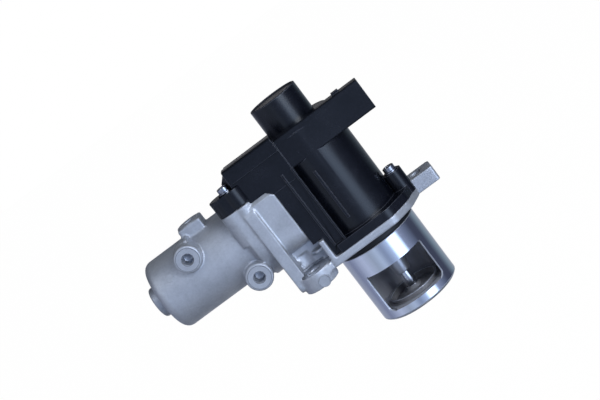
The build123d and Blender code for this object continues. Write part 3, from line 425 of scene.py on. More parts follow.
FINISHES: tuple[Finish, ...] = (
    Finish("cast_aluminium", (0.52, 0.545, 0.60), (0.38, 0.40, 0.45), metallic=0.60, roughness=0.50,
        spread=0.16, clouds=90.0, grain=2300.0, depth=0.00022, pits=0.45, ripple=0.8),
    TurnedFinish("machined_aluminium", (0.82, 0.84, 0.88), (0.68, 0.71, 0.77), metallic=1.0,
        roughness=0.10, spread=0.10, depth=0.00001, band=0.4),
    # Duller, darker aluminium of the bore: its own finish, darkened as painted shade inside the cartridge.
    TurnedFinish("bored_and_shaded_aluminium", (0.48, 0.49, 0.54), (0.34, 0.35, 0.40), metallic=0.30, roughness=0.50,
        depth=0.000005),
    Finish("rim_aluminium", (0.46, 0.485, 0.56), (0.36, 0.385, 0.45), metallic=0.45, roughness=0.46,
        spread=0.10, clouds=200.0, grain=2600.0, depth=0.00001),
    # Dark aluminium for the rounds of the boss faces: painted shade along their step lines.
    Finish("groove_shade_aluminium", (0.16, 0.17, 0.20), (0.10, 0.11, 0.13), metallic=0.4, roughness=0.55,
        spread=0.10, clouds=200.0, grain=2600.0, depth=0.00001),
    Finish("black_plastic", (0.002, 0.003, 0.006), (0.004, 0.005, 0.010), roughness=0.24, spread=0.10,
        clouds=60.0, grain=3200.0, depth=0.00002, pits=0.2, specular=0.42),
    # Lighter plastic on rounded edges: painted highlight along the edges, with some wear.
    Finish("wear_and_sheen_plastic", (0.030, 0.033, 0.048), (0.016, 0.018, 0.028), roughness=0.42, spread=0.10,
        clouds=160.0, grain=3200.0, depth=0.00002),
    TurnedFinish("steel", (0.50, 0.51, 0.55), (0.36, 0.37, 0.41), metallic=0.85, roughness=0.30,
        depth=0.000004, pitch=1500.0),
    TurnedFinish("steel_x", (0.62, 0.62, 0.64), (0.46, 0.46, 0.49), metallic=1.0, roughness=0.26,
        spread=0.18, depth=0.00002, axis=Axis.X),
    TurnedFinish("bright_steel", (0.78, 0.79, 0.82), (0.60, 0.61, 0.65), metallic=1.0, roughness=0.14,
        spread=0.10, depth=0.000004, pitch=1500.0),
    # Darker steel: painted shade inside the valve chamber, with soot.
    Finish("soot_and_shade_steel", (0.30, 0.30, 0.32), (0.18, 0.18, 0.20), metallic=0.4, clouds=150.0,
        grain=1800.0, depth=0.00001),
    Finish("zinc_steel", (0.52, 0.53, 0.57), (0.30, 0.31, 0.35), metallic=1.0, roughness=0.24, spread=0.16,
        clouds=400.0, grain=3000.0, depth=0.00003),
    Finish("black_rubber", (0.005, 0.006, 0.008), (0.009, 0.010, 0.013), roughness=0.45, clouds=200.0,
        grain=2600.0, depth=0.00004, specular=0.3),
    Finish("spring_steel", (0.36, 0.36, 0.38), (0.22, 0.22, 0.24), metallic=0.9, roughness=0.38,
        spread=0.2, clouds=300.0, grain=2600.0, depth=0.00004),
    TurnedFinish("bronze", (0.55, 0.37, 0.20), (0.38, 0.24, 0.12), metallic=1.0, roughness=0.34,
        spread=0.2, depth=0.00002, axis=Axis.X),
    Finish("brass", (0.72, 0.55, 0.26), (0.58, 0.42, 0.18), metallic=1.0, roughness=0.26, spread=0.16,
        clouds=300.0, grain=3000.0, depth=0.00003),
    TurnedFinish("copper", (0.70, 0.32, 0.17), (0.42, 0.17, 0.08), metallic=0.9, roughness=0.34,
        spread=0.2, depth=0.00012, axis=Axis.X, pitch=900.0),
    Finish("magnet", (0.055, 0.055, 0.06), (0.09, 0.09, 0.10), metallic=0.2, roughness=0.55, spread=0.15,
        clouds=300.0, grain=1800.0),
    Finish("carbon", (0.03, 0.03, 0.032), (0.06, 0.06, 0.063), metallic=0.1, roughness=0.6, spread=0.15,
        clouds=300.0, grain=2400.0, depth=0.00006),
    Finish("gear_plastic", (0.72, 0.70, 0.62), (0.62, 0.60, 0.52), roughness=0.42, spread=0.1,
        clouds=150.0, grain=2400.0, depth=0.00003),
    Finish("circuit_board", (0.02, 0.13, 0.05), (0.03, 0.20, 0.08), roughness=0.32, clouds=500.0,
        grain=1500.0, depth=0.00005, coat=0.3),
)
NODE_FINISH = {
    # The poppet's darker steel is painted shade inside the chamber, with soot.
    "poppet_head": "soot_and_shade_steel",
    "valve_stem": "bright_steel",
    "motor_shaft": "steel_x",
    "output_shaft": "steel_x",
    "motor_can": "steel_x",
    "idler_pin": "steel_x",
}
MATERIALS: dict[str, bpy.types.Material] = {}


def make_materials() -> None:
    """Builds the shared groups and every finish."""
    for group in (make_tone_group(), make_grain_group(), make_turned_group()):
        GROUPS[group.name] = group
    for finish in FINISHES:
        MATERIALS[finish.name] = finish.build()


def deselect() -> None:
    """Leaves edit mode and deselects every object."""
    if bpy.context.object is not None and bpy.context.object.mode != "OBJECT":
        bpy.ops.object.mode_set(mode="OBJECT")
    bpy.ops.object.select_all(action="DESELECT")


def make_active(piece: Piece) -> None:
    """Selects one piece alone and makes it active.

    Args:
        piece: The piece.
    """
    deselect()
    piece.select_set(True)
    bpy.context.view_layer.objects.active = piece


def add_round(
    radius: float, low: float, high: float, spot: Triple, axis: Axis = Axis.Z, sides: int = HOLE_SIDES
) -> Piece:
    """Adds a cylinder between two heights along an axis.

    Args:
        radius: Radius in millimetres.
        low: Start along the axis, from the spot.
        high: End along the axis, from the spot.
        spot: Place of the axis in millimetres.
        axis: Direction of the axis.
        sides: Number of sides.

    Returns:
        The new cylinder, active and selected.
    """
    deselect()
    turn = Euler(axis.value).to_matrix()
    middle = Vector(spot) + turn @ Vector((0, 0, (low + high) / 2))
    bpy.ops.mesh.primitive_cylinder_add(
        vertices=sides, radius=radius * MM, depth=(high - low) * MM, location=middle * MM, rotation=axis.value
    )
    bpy.ops.object.transform_apply(location=True, rotation=True, scale=True)
    return bpy.context.object


def add_block(low: Triple, high: Triple) -> Piece:
    """Adds a box between two corners.

    Args:
        low: Corner with the smallest values, in millimetres.
        high: Corner with the largest values.

    Returns:
        The new box, active and selected.
    """
    deselect()
    start, end = Vector(low), Vector(high)
    bpy.ops.mesh.primitive_cube_add(size=1.0, location=(start + end) / 2 * MM)
    bpy.context.object.scale = (end - start) * MM
    bpy.ops.object.transform_apply(location=True, rotation=True, scale=True)
    return bpy.context.object


def facing(direction: Vector) -> FaceTest:
    """Makes a test for faces that look in a direction.

    Args:
        direction: The direction.

    Returns:
        The test, which takes a face's centre and its normal.
    """
    return lambda spot, normal: normal.dot(direction) > FACING


def pick_faces(piece: Piece, test: FaceTest) -> None:
    """Enters edit mode with the faces selected whose centre and normal pass a test.

    Args:
        piece: The piece to edit.
        test: Takes a face's centre in millimetres and its normal.
    """
    make_active(piece)
    bpy.ops.object.mode_set(mode="EDIT")
    bpy.ops.mesh.select_mode(type="FACE")
    bpy.ops.mesh.select_all(action="DESELECT")
    shape = bmesh.from_edit_mesh(piece.data)
    for face in shape.faces:
        face.select_set(test(face.calc_center_median() / MM, face.normal))
    bmesh.update_edit_mesh(piece.data)


def sink_faces(piece: Piece, test: FaceTest, inset: float, move: Vector) -> None:
    """Insets the chosen faces and extrudes the inner ones.

    Args:
        piece: The piece to edit.
        test: Chooses the faces.
        inset: Width of the ring left round them, in millimetres.
        move: How far the inner faces go, in millimetres.
    """
    pick_faces(piece, test)
    bpy.ops.mesh.inset(thickness=inset * MM)
    bpy.ops.mesh.extrude_region_move(TRANSFORM_OT_translate={"value": move * MM})
    bpy.ops.object.mode_set(mode="OBJECT")


def bevel_edges(
    piece: Piece,
    width: float,
    segments: int = 2,
    angle: float = CORNER_ANGLE,
    rim_index: int = NEIGHBOURS,
) -> None:
    """Rounds a piece's edges with an applied bevel and shades it smooth.

    Args:
        piece: The piece to round.
        width: Width of the round in millimetres.
        segments: Steps across the round.
        angle: Edges sharper than this many degrees are rounded.
        rim_index: Number of the finish that the rounds get, or NEIGHBOURS for that of the faces beside them.
    """
    make_active(piece)
    bpy.ops.object.shade_smooth_by_angle(angle=radians(angle))
    bevel = piece.modifiers.new("round", "BEVEL")
    bevel.limit_method = "ANGLE"
    bevel.angle_limit = radians(angle)
    bevel.width = width * MM
    bevel.segments = segments
    bevel.use_clamp_overlap = False
    bevel.loop_slide = False
    bevel.harden_normals = True
    bevel.material = rim_index
    bpy.ops.object.modifier_apply(modifier=bevel.name)


def soften(piece: Piece, cell: float, passes: int, share: float) -> None:
    """Lays a fine even mesh over a piece and smooths it, which rounds all its corners softly.

    Args:
        piece: The piece to soften.
        cell: Cell of the even mesh in millimetres.
        passes: Number of smoothing passes.
        share: Share of the even mesh's faces that is kept in the end.
    """
    make_active(piece)
    remesh = piece.modifiers.new("even_mesh", "REMESH")
    remesh.mode = "VOXEL"
    remesh.voxel_size = cell * MM
    remesh.use_smooth_shade = True
    bpy.ops.object.modifier_apply(modifier=remesh.name)
    smooth = piece.modifiers.new("soft", "SMOOTH")
    smooth.factor = SMOOTHING
    smooth.iterations = passes
    bpy.ops.object.modifier_apply(modifier=smooth.name)
    thin = piece.modifiers.new("thin_out", "DECIMATE")
    thin.ratio = share
    bpy.ops.object.modifier_apply(modifier=thin.name)
    bpy.ops.object.shade_smooth()


def cut_round(
    piece: Piece, radius: float, low: float, high: float, spot: Triple, axis: Axis
) -> None:
    """Cuts a round hole through a piece.

    Args:
        piece: The piece to cut.
        radius: Radius of the hole in millimetres.
        low: Start of the hole along its axis, from the spot.
        high: End of the hole.
        spot: Place of the hole's axis in millimetres.
        axis: Direction of the hole.
    """
    cutter = add_round(radius, low, high, spot, axis)
    make_active(piece)
    cut = piece.modifiers.new("hole", "BOOLEAN")
    cut.operation = "DIFFERENCE"
    cut.solver = "EXACT"
    cut.object = cutter
    bpy.ops.object.modifier_apply(modifier=cut.name)
    bpy.data.objects.remove(cutter)


def bevel_chosen(piece: Piece, test: FaceTest, width: float, rim_index: int) -> None:
    """Bevels the sharp edges whose ends both pass a test.

    Args:
        piece: The piece to edit.
        test: Takes an edge's two ends in millimetres.
        width: Width of the bevel in millimetres.
        rim_index: Number of the finish that the bevel gets.
    """
    make_active(piece)
    bpy.ops.object.shade_smooth_by_angle(angle=radians(CHOSEN_ANGLE))
    bpy.ops.object.mode_set(mode="EDIT")
    bpy.ops.mesh.select_mode(type="EDGE")
    bpy.ops.mesh.select_all(action="DESELECT")
    shape = bmesh.from_edit_mesh(piece.data)
    for edge in shape.edges:
        sharp = len(edge.link_faces) == 2 and edge.calc_face_angle() > radians(CHOSEN_ANGLE)
        edge.select_set(sharp and test(edge.verts[0].co / MM, edge.verts[1].co / MM))
    bmesh.update_edit_mesh(piece.data)
    bpy.ops.mesh.bevel(
        offset=width * MM, segments=CHOSEN_STEPS, affect="EDGES", material=rim_index,
        loop_slide=False, clamp_overlap=True,
    )
    bpy.ops.object.mode_set(mode="OBJECT")


def merge_copy(node: str, name: str) -> Piece:
    """Copies a solid's mesh as a new piece and joins its loose triangles into faces.

    Args:
        node: Name of the solid.
        name: Name of the new piece.

    Returns:
        The new piece.
    """
    mesh = frame["nodes"][node].data.copy()
    piece = bpy.data.objects.new(name, mesh)
    bpy.context.scene.collection.objects.link(piece)
    make_active(piece)
    bpy.ops.object.mode_set(mode="EDIT")
    bpy.ops.mesh.select_all(action="SELECT")
    bpy.ops.mesh.customdata_custom_splitnormals_clear()
    bpy.ops.mesh.remove_doubles(threshold=WELD_REACH * MM)
    bpy.ops.mesh.dissolve_limited(angle_limit=radians(FLAT_ANGLE))
    bpy.ops.object.mode_set(mode="OBJECT")
    return piece


def set_finishes(piece: Piece, *finishes: str) -> None:
    """Puts finishes on a piece, the first one all over.

    Args:
        piece: The piece.
        *finishes: Names of its finishes, in the order of its faces' numbers.
    """
    piece.data.materials.clear()
    for finish in finishes:
        piece.data.materials.append(MATERIALS[finish])


def finish_piece(piece: Piece, name: str, finish: str) -> Piece:
    """Names a piece, gives it its finish and lets it ride on the housing.

    Args:
        piece: The finished mesh, which may carry its finishes already.
        name: Name of the piece.
        finish: Name of its main finish, which is also its material slot.

    Returns:
        The piece.
    """
    deselect()
    piece.name = name
    piece.data.name = name
    if not piece.data.materials or piece.data.materials[0] != MATERIALS[finish]:
        set_finishes(piece, finish)
    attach(piece, HOUSING)
    LOG.info("piece %s: %d faces", name, len(piece.data.polygons))
    return piece


def join(pieces: Iterable[Piece]) -> Piece:
    """Joins pieces into the first one.

    Args:
        pieces: The pieces.

    Returns:
        The joined piece.
    """
    parts = list(pieces)
    deselect()
    for part in parts:
        part.select_set(True)
    bpy.context.view_layer.objects.active = parts[0]
    bpy.ops.object.join()
    return bpy.context.object


@dataclass
class BodyCasting:
    """The casting with its cast edges rounded, its square top boss and its ejector marks.

    All lengths are in millimetres.

    Attributes:
        cell: Cell of the even mesh.
        share_kept: Share of the even mesh's faces that is kept.
        boss_faces: Place of each bracket boss's face.
        face_span: Where a machined face starts and ends along Y, from its place.
        pad_low: Lower corner of the square pad round the top bracket hole.
        web_low: Lower corner of the web between the pad and the upper front boss.
        pillar_spot: Axis of the round pillar under the cover's front screw.
        ear_mark: Middle of the round mark on the left ear.
        barrel_mark: Place of the mark on the barrel.
        barrel_turn: How far that mark leans to the front, in degrees.
    """

    cell: float = 0.5
    softening: int = 2
    share_kept: float = 0.36
    boss_faces: tuple[Triple, ...] = ((-78.6, -22.0, 49.6), (-56.3, -22.0, 21.6))
    face_radius: float = 5.9
    face_span: Pair = (-0.25, 0.5)
    face_hole: float = 2.95
    pad_low: Triple = (-77.0, -7.2, 54.0)
    pad_high: Triple = (-63.9, 7.2, 61.0)
    top_hole: Triple = (-70.4, 0.0, 0.0)
    top_hole_radius: float = 2.75
    web_low: Triple = (-79.6, -16.5, 50.0)
    web_high: Triple = (-74.0, -5.0, 57.4)
    pillar_spot: Triple = (-42.4, -17.8, 0.0)
    pillar_radius: float = 6.2
    ear_mark: Triple = (-31.5, -28.2, 2.6)
    barrel_mark: Triple = (-92.0, 0.0, 37.1)
    barrel_turn: float = 60.0

    def build(self) -> None:
        """Makes the skin of the casting with its corners softened, as a die leaves them."""
        skin = merge_copy("body_casting", "casting_skin")
        soft = join([skin, *self.blocks()])
        soften(soft, self.cell, self.softening, self.share_kept)
        finish_piece(soft, "casting_skin", "cast_aluminium")
        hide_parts("body_casting")
        finish_piece(join([*self.faces(), *self.marks()]), "casting_marks", "cast_aluminium")

    def blocks(self) -> list[Piece]:
        """Makes the square pad round the top bracket hole, the web beside it and the round pillar.

        Returns:
            The pad, with the hole left open, the web and the pillar.
        """
        pad = add_block(self.pad_low, self.pad_high)
        bevel_edges(pad, width=0.8, segments=3)
        cut_round(pad, self.top_hole_radius, self.pad_low[2] - 1, self.pad_high[2] + 1, self.top_hole, Axis.Z)
        web = add_block(self.web_low, self.web_high)
        bevel_edges(web, width=1.2, segments=3)
        pillar = add_round(self.pillar_radius, low=40.0, high=55.0, spot=self.pillar_spot, sides=48)
        bevel_edges(pillar, width=0.6, segments=3)
        return [pad, web, pillar]

    def faces(self) -> list[Piece]:
        """Makes the machined faces of the front bracket bosses.

        Returns:
            One flat ring for each boss.
        """
        rings = []
        low, high = self.face_span
        for place in self.boss_faces:
            ring = add_round(self.face_radius, low, high, place, Axis.Y, sides=72)
            cut_round(ring, self.face_hole, low - 1, high + 1, place, Axis.Y)
            # The rounds get the dark aluminium: a painted shade line round each face and its hole.
            set_finishes(ring, "cast_aluminium", "groove_shade_aluminium")
            bevel_edges(ring, width=0.22, segments=2, rim_index=RIM)
            rings.append(ring)
        return rings

    def marks(self) -> list[Piece]:
        """Makes the round marks that the die's ejector pins leave.

        Returns:
            The marks on the left ear and on the barrel.
        """
        ear = add_round(radius=3.1, low=-0.5, high=1.5, spot=self.ear_mark, axis=Axis.Y, sides=48)
        sink_faces(ear, facing(FRONT), inset=0.5, move=FRONT * -0.25)
        bevel_edges(ear, width=0.2, segments=2)
        barrel = add_round(radius=2.1, low=18.6, high=19.45, spot=ORIGIN, sides=40)
        bevel_edges(barrel, width=0.12, segments=2)
        turn = Matrix.Rotation(radians(self.barrel_turn), 4, "X")
        barrel.data.transform(Matrix.Translation(Vector(self.barrel_mark) * MM) @ turn)
        for mark in (ear, barrel):
            set_finishes(mark, "cast_aluminium")
        return [ear, barrel]


@dataclass
class DriveCover:
    """The moulded cover with its round sensor cap.

    All lengths are in millimetres.

    Attributes:
        panel_corner: Y and Z of the panel's top back corner.
        corner_reach: How far from there a vertex still counts as that corner.
        slope_sum: Y plus Z of any point on the lid's back slope.
        lug_spot: Axis of the round lug that carries the front left screw.
        tail_spot: Axis of the lug's rounded left end.
    """

    edge_round: float = 0.25
    panel_corner: Pair = (21.4, 68.8)
    corner_reach: float = 0.1
    slope_sum: float = 87.0
    cap_radius: float = 13.2
    cap_low: float = 68.8
    cap_top: float = 85.8
    cap_wall: float = 2.2
    lug_spot: Triple = (-42.2, -17.8, 0.0)
    lug_radius: float = 6.6
    lug_low: float = 55.3
    lug_top: float = 64.4
    tail_spot: Triple = (-48.7, -17.8, 0.0)
    tail_radius: float = 5.65
    tail_low: float = 61.8

    def build(self) -> None:
        """Makes the rounded skin of the cover and the cap."""
        skin = merge_copy("drive_cover", "cover_skin")
        self.settle_corner(skin)
        # The cover's rounds get the lighter plastic: painted highlight along its edges, with some wear.
        set_finishes(skin, "black_plastic", "wear_and_sheen_plastic")
        bevel_edges(skin, self.edge_round, 2, rim_index=RIM)
        cover = join([skin, self.lug()])
        finish_piece(cover, "cover_skin", "black_plastic")
        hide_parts("drive_cover")
        self.build_cap()

    def settle_corner(self, skin: Piece) -> None:
        """Lays the panel's top back corner flat on the lid's back slope.

        Args:
            skin: The cover's skin before its edges are rounded.
        """
        corner_y, corner_z = self.panel_corner
        for vertex in skin.data.vertices:
            spot = vertex.co / MM
            if abs(spot.y - corner_y) < self.corner_reach and abs(spot.z - corner_z) < self.corner_reach:
                rise = (spot.y + spot.z - self.slope_sum) / 2 * MM
                vertex.co -= Vector((0.0, rise, rise))
        make_active(skin)
        bpy.ops.object.mode_set(mode="EDIT")
        bpy.ops.mesh.select_all(action="SELECT")
        bpy.ops.mesh.dissolve_degenerate(threshold=SLIVER_REACH * MM)
        bpy.ops.mesh.dissolve_limited(angle_limit=radians(FLAT_ANGLE))
        bpy.ops.object.mode_set(mode="OBJECT")

    def lug(self) -> Piece:
        """Makes the round lug that carries the front left screw.

        Returns:
            The lug, standing out in front of the lid.
        """
        lug = add_round(self.lug_radius, self.lug_low, self.lug_top, self.lug_spot, sides=72)
        tail = add_round(self.tail_radius, self.tail_low, self.lug_top, self.tail_spot, sides=72)
        low = (self.tail_spot[0], self.tail_spot[1] - self.tail_radius, self.tail_low)
        high = (self.lug_spot[0], self.tail_spot[1] + self.tail_radius, self.lug_top)
        pieces = (lug, tail, add_block(low, high))
        for piece in pieces:
            set_finishes(piece, "black_plastic", "wear_and_sheen_plastic")
            bevel_edges(piece, width=0.4, segments=3)
        return join(pieces)

    def build_cap(self) -> None:
        """Makes the cap with its raised rim and its hollow inside."""
        cap = add_round(self.cap_radius, self.cap_low, self.cap_top, ORIGIN, sides=96)
        sink_faces(cap, facing(UP), inset=1.2, move=DOWN * 0.5)
        depth = self.cap_top - self.cap_wall - self.cap_low
        sink_faces(cap, facing(DOWN), self.cap_wall, UP * depth)
        # The cap's rounds get the lighter plastic: painted highlight along its edges, with some wear.
        set_finishes(cap, "black_plastic", "wear_and_sheen_plastic")
        bevel_edges(cap, width=0.5, segments=3, rim_index=RIM)
        finish_piece(cap, "cap_skin", "black_plastic")
        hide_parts("sensor_cap")


@dataclass
class FlowCartridge:
    """The turned cartridge with its milled window.

    All lengths are in millimetres.

    Attributes:
        window_round: Width of the rounds on the window's outer edge.
        bore_radius: Within this radius a face belongs to the bored inside.
        low: Height of the lower end of the inside.
        high: Height of its upper end.
        roof_room: How far below that end the window's edge lies at least.
        edge_reach: How far from the outer surface a corner still counts as on it.
        axis_room: Radius round the axis where no wall is looked for.
        inward: A wall faces inward when its normal leans to the axis by more than this.
        level: A floor or roof is a face whose normal leans to Z by more than this.
    """

    edge_round: float = 0.4
    window_round: float = 0.9
    radius: float = 22.0
    bore_radius: float = 20.5
    low: float = -37.0
    high: float = -1.0
    roof_room: float = 4.0
    edge_reach: float = 0.15
    axis_room: float = 0.1
    inward: float = 0.5
    level: float = 0.7

    def build(self) -> None:
        """Makes the rounded skin of the cartridge."""
        skin = merge_copy("flow_cartridge", "cartridge_skin")
        set_finishes(skin, "machined_aluminium", "rim_aluminium", "bored_and_shaded_aluminium")
        bevel_chosen(skin, self.on_window_edge, self.window_round, RIM)
        bevel_edges(skin, self.edge_round, 2, rim_index=RIM)
        finish_piece(skin, "cartridge_skin", "machined_aluminium")
        self.darken_bore(skin)
        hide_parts("flow_cartridge")

    def on_window_edge(self, first: Vector, second: Vector) -> bool:
        """Tells whether an edge lies on the outer outline of the window.

        Args:
            first: One end of the edge.
            second: The other end.

        Returns:
            True for an edge of that outline.
        """
        ends = (first, second)
        outside = all(abs(end.xy.length - self.radius) < self.edge_reach for end in ends)
        return outside and all(end.y < 0 and self.low < end.z < self.high - self.roof_room for end in ends)

    def darken_bore(self, skin: Piece) -> None:
        """Gives the bored inside its duller, darker finish: partly the bore's own finish, partly painted
        shade inside the cartridge.

        Args:
            skin: The rounded cartridge.
        """
        for face in skin.data.polygons:
            spot = face.center / MM
            reach = spot.xy
            if not self.low < spot.z < self.high or reach.length >= self.bore_radius:
                continue
            wall = reach.length > self.axis_room and reach.normalized().dot(face.normal.xy) < -self.inward
            if wall or abs(face.normal.z) > self.level:
                face.material_index = INNER


@dataclass
class ValveSeat:
    """The pressed seat ring and the guide's nose, as seen through the window.

    All lengths are in millimetres.

    Attributes:
        seat_rim: Width of the bright lapped edge of the seat.
        nose_rim: Width of the rounds on the guide.
        lip_outer: Outer radius of the raised lip round the seat's bore.
    """

    seat_rim: float = 0.4
    nose_rim: float = 0.35
    lip_outer: float = 14.1
    lip_inner: float = 13.0
    lip_low: float = -35.0
    lip_high: float = -32.4

    def build(self) -> None:
        """Makes the ring with its lapped edges and the guide with its rounded nose."""
        ring = merge_copy("seat_ring", "seat_skin")
        self.edge(ring, self.seat_rim, RIM)
        # All of the ring but its edges gets the darker steel: painted shade with soot.
        self.shade_and_soot(ring)
        seat = finish_piece(join([ring, self.lip()]), "seat_skin", "steel")
        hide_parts("seat_ring")
        guide = merge_copy("stem_guide", "guide_skin")
        self.edge(guide, self.nose_rim, MAIN)
        finish_piece(guide, "guide_skin", "steel")
        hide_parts("stem_guide")

    def edge(self, piece: Piece, width: float, rim_index: int) -> None:
        """Gives a piece its finishes and rounds its edges.

        Args:
            piece: The piece.
            width: Width of the rounds.
            rim_index: Number of the finish that the rounds get.
        """
        set_finishes(piece, "steel", "rim_aluminium", "soot_and_shade_steel")
        bevel_edges(piece, width, 3, rim_index=rim_index)

    def lip(self) -> Piece:
        """Makes the raised bright lip round the seat's bore.

        Returns:
            The lip.
        """
        lip = add_round(self.lip_outer, self.lip_low, self.lip_high, ORIGIN, sides=96)
        cut_round(lip, self.lip_inner, self.lip_low - 1, self.lip_high + 1, ORIGIN, Axis.Z)
        self.edge(lip, 0.3, RIM)
        # All of the lip but its edges gets the darker steel: painted shade with soot.
        self.shade_and_soot(lip)
        return lip

    def shade_and_soot(self, skin: Piece) -> None:
        """Gives all of a piece but its bright edges the darker steel: painted shade inside the chamber, with
        soot.

        Args:
            skin: The piece.
        """
        for face in skin.data.polygons:
            if face.material_index == MAIN:
                face.material_index = INNER


@dataclass
class CoverScrews:
    """The pan-head screws of the cover, with washers under their heads.

    All lengths are in millimetres.

    Attributes:
        places: Axis and height under the head of each screw.
        head_low: Height of the head's lower face over the washer's.
        recess_reach: Within this radius a vertex of the head belongs to its recess.
        lobe_depth: Share by which the lobes narrow the recess.
    """

    places: tuple[Triple, ...] = (
        (-44.5, -17.8, 64.4),
        (-48.9, 19.2, 58.4),
        (24.8, -5.0, 21.6),
        (11.0, 22.2, 21.6),
    )
    head_radius: float = 3.1
    head_low: float = 0.6
    head_height: float = 2.5
    recess_radius: float = 1.7
    recess_depth: float = 1.4
    recess_reach: float = 2.0
    lobes: int = 6
    lobe_depth: float = 0.16
    shank_radius: float = 1.9
    shank_length: float = 15.0

    def build(self) -> None:
        """Models one screw and copies it to each place."""
        master = self.screw()
        copies = []
        for place in self.places:
            copy = bpy.data.objects.new("screw", master.data.copy())
            bpy.context.scene.collection.objects.link(copy)
            copy.data.transform(Matrix.Translation(Vector(place) * MM))
            copies.append(copy)
        bpy.data.objects.remove(master)
        screws = finish_piece(join(copies), "screws_dressed", "zinc_steel")
        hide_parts("cover_screws")

    def screw(self) -> Piece:
        """Models a screw whose washer rests at the origin.

        Returns:
            The screw.
        """
        washer = add_round(radius=3.7, low=0.0, high=0.7, spot=ORIGIN, sides=40)
        bevel_edges(washer, width=0.15, segments=2)
        head_top = self.head_low + self.head_height
        head = add_round(self.head_radius, self.head_low, head_top, ORIGIN, sides=36)
        sink_faces(head, facing(UP), self.head_radius - self.recess_radius, DOWN * self.recess_depth)
        self.shape_recess(head)
        bevel_edges(head, width=0.45, segments=3, angle=50.0)
        shank = add_round(self.shank_radius, low=-self.shank_length, high=0.3, spot=ORIGIN, sides=24)
        sink_faces(shank, facing(DOWN), inset=0.4, move=DOWN * 0.5)
        bevel_edges(shank, width=0.2, segments=2)
        return join([washer, head, shank])

    def shape_recess(self, head: Piece) -> None:
        """Waves the outline of the recess, which leaves a lobed drive.

        Args:
            head: The screw's head, with its round recess.
        """
        for vertex in head.data.vertices:
            reach = vertex.co.xy / MM
            if reach.length < self.recess_reach:
                angle = Vector((1, 0)).angle_signed(reach, 0.0)
                vertex.co.xy *= 1.0 - self.lobe_depth * (0.5 + 0.5 * cos(self.lobes * angle))


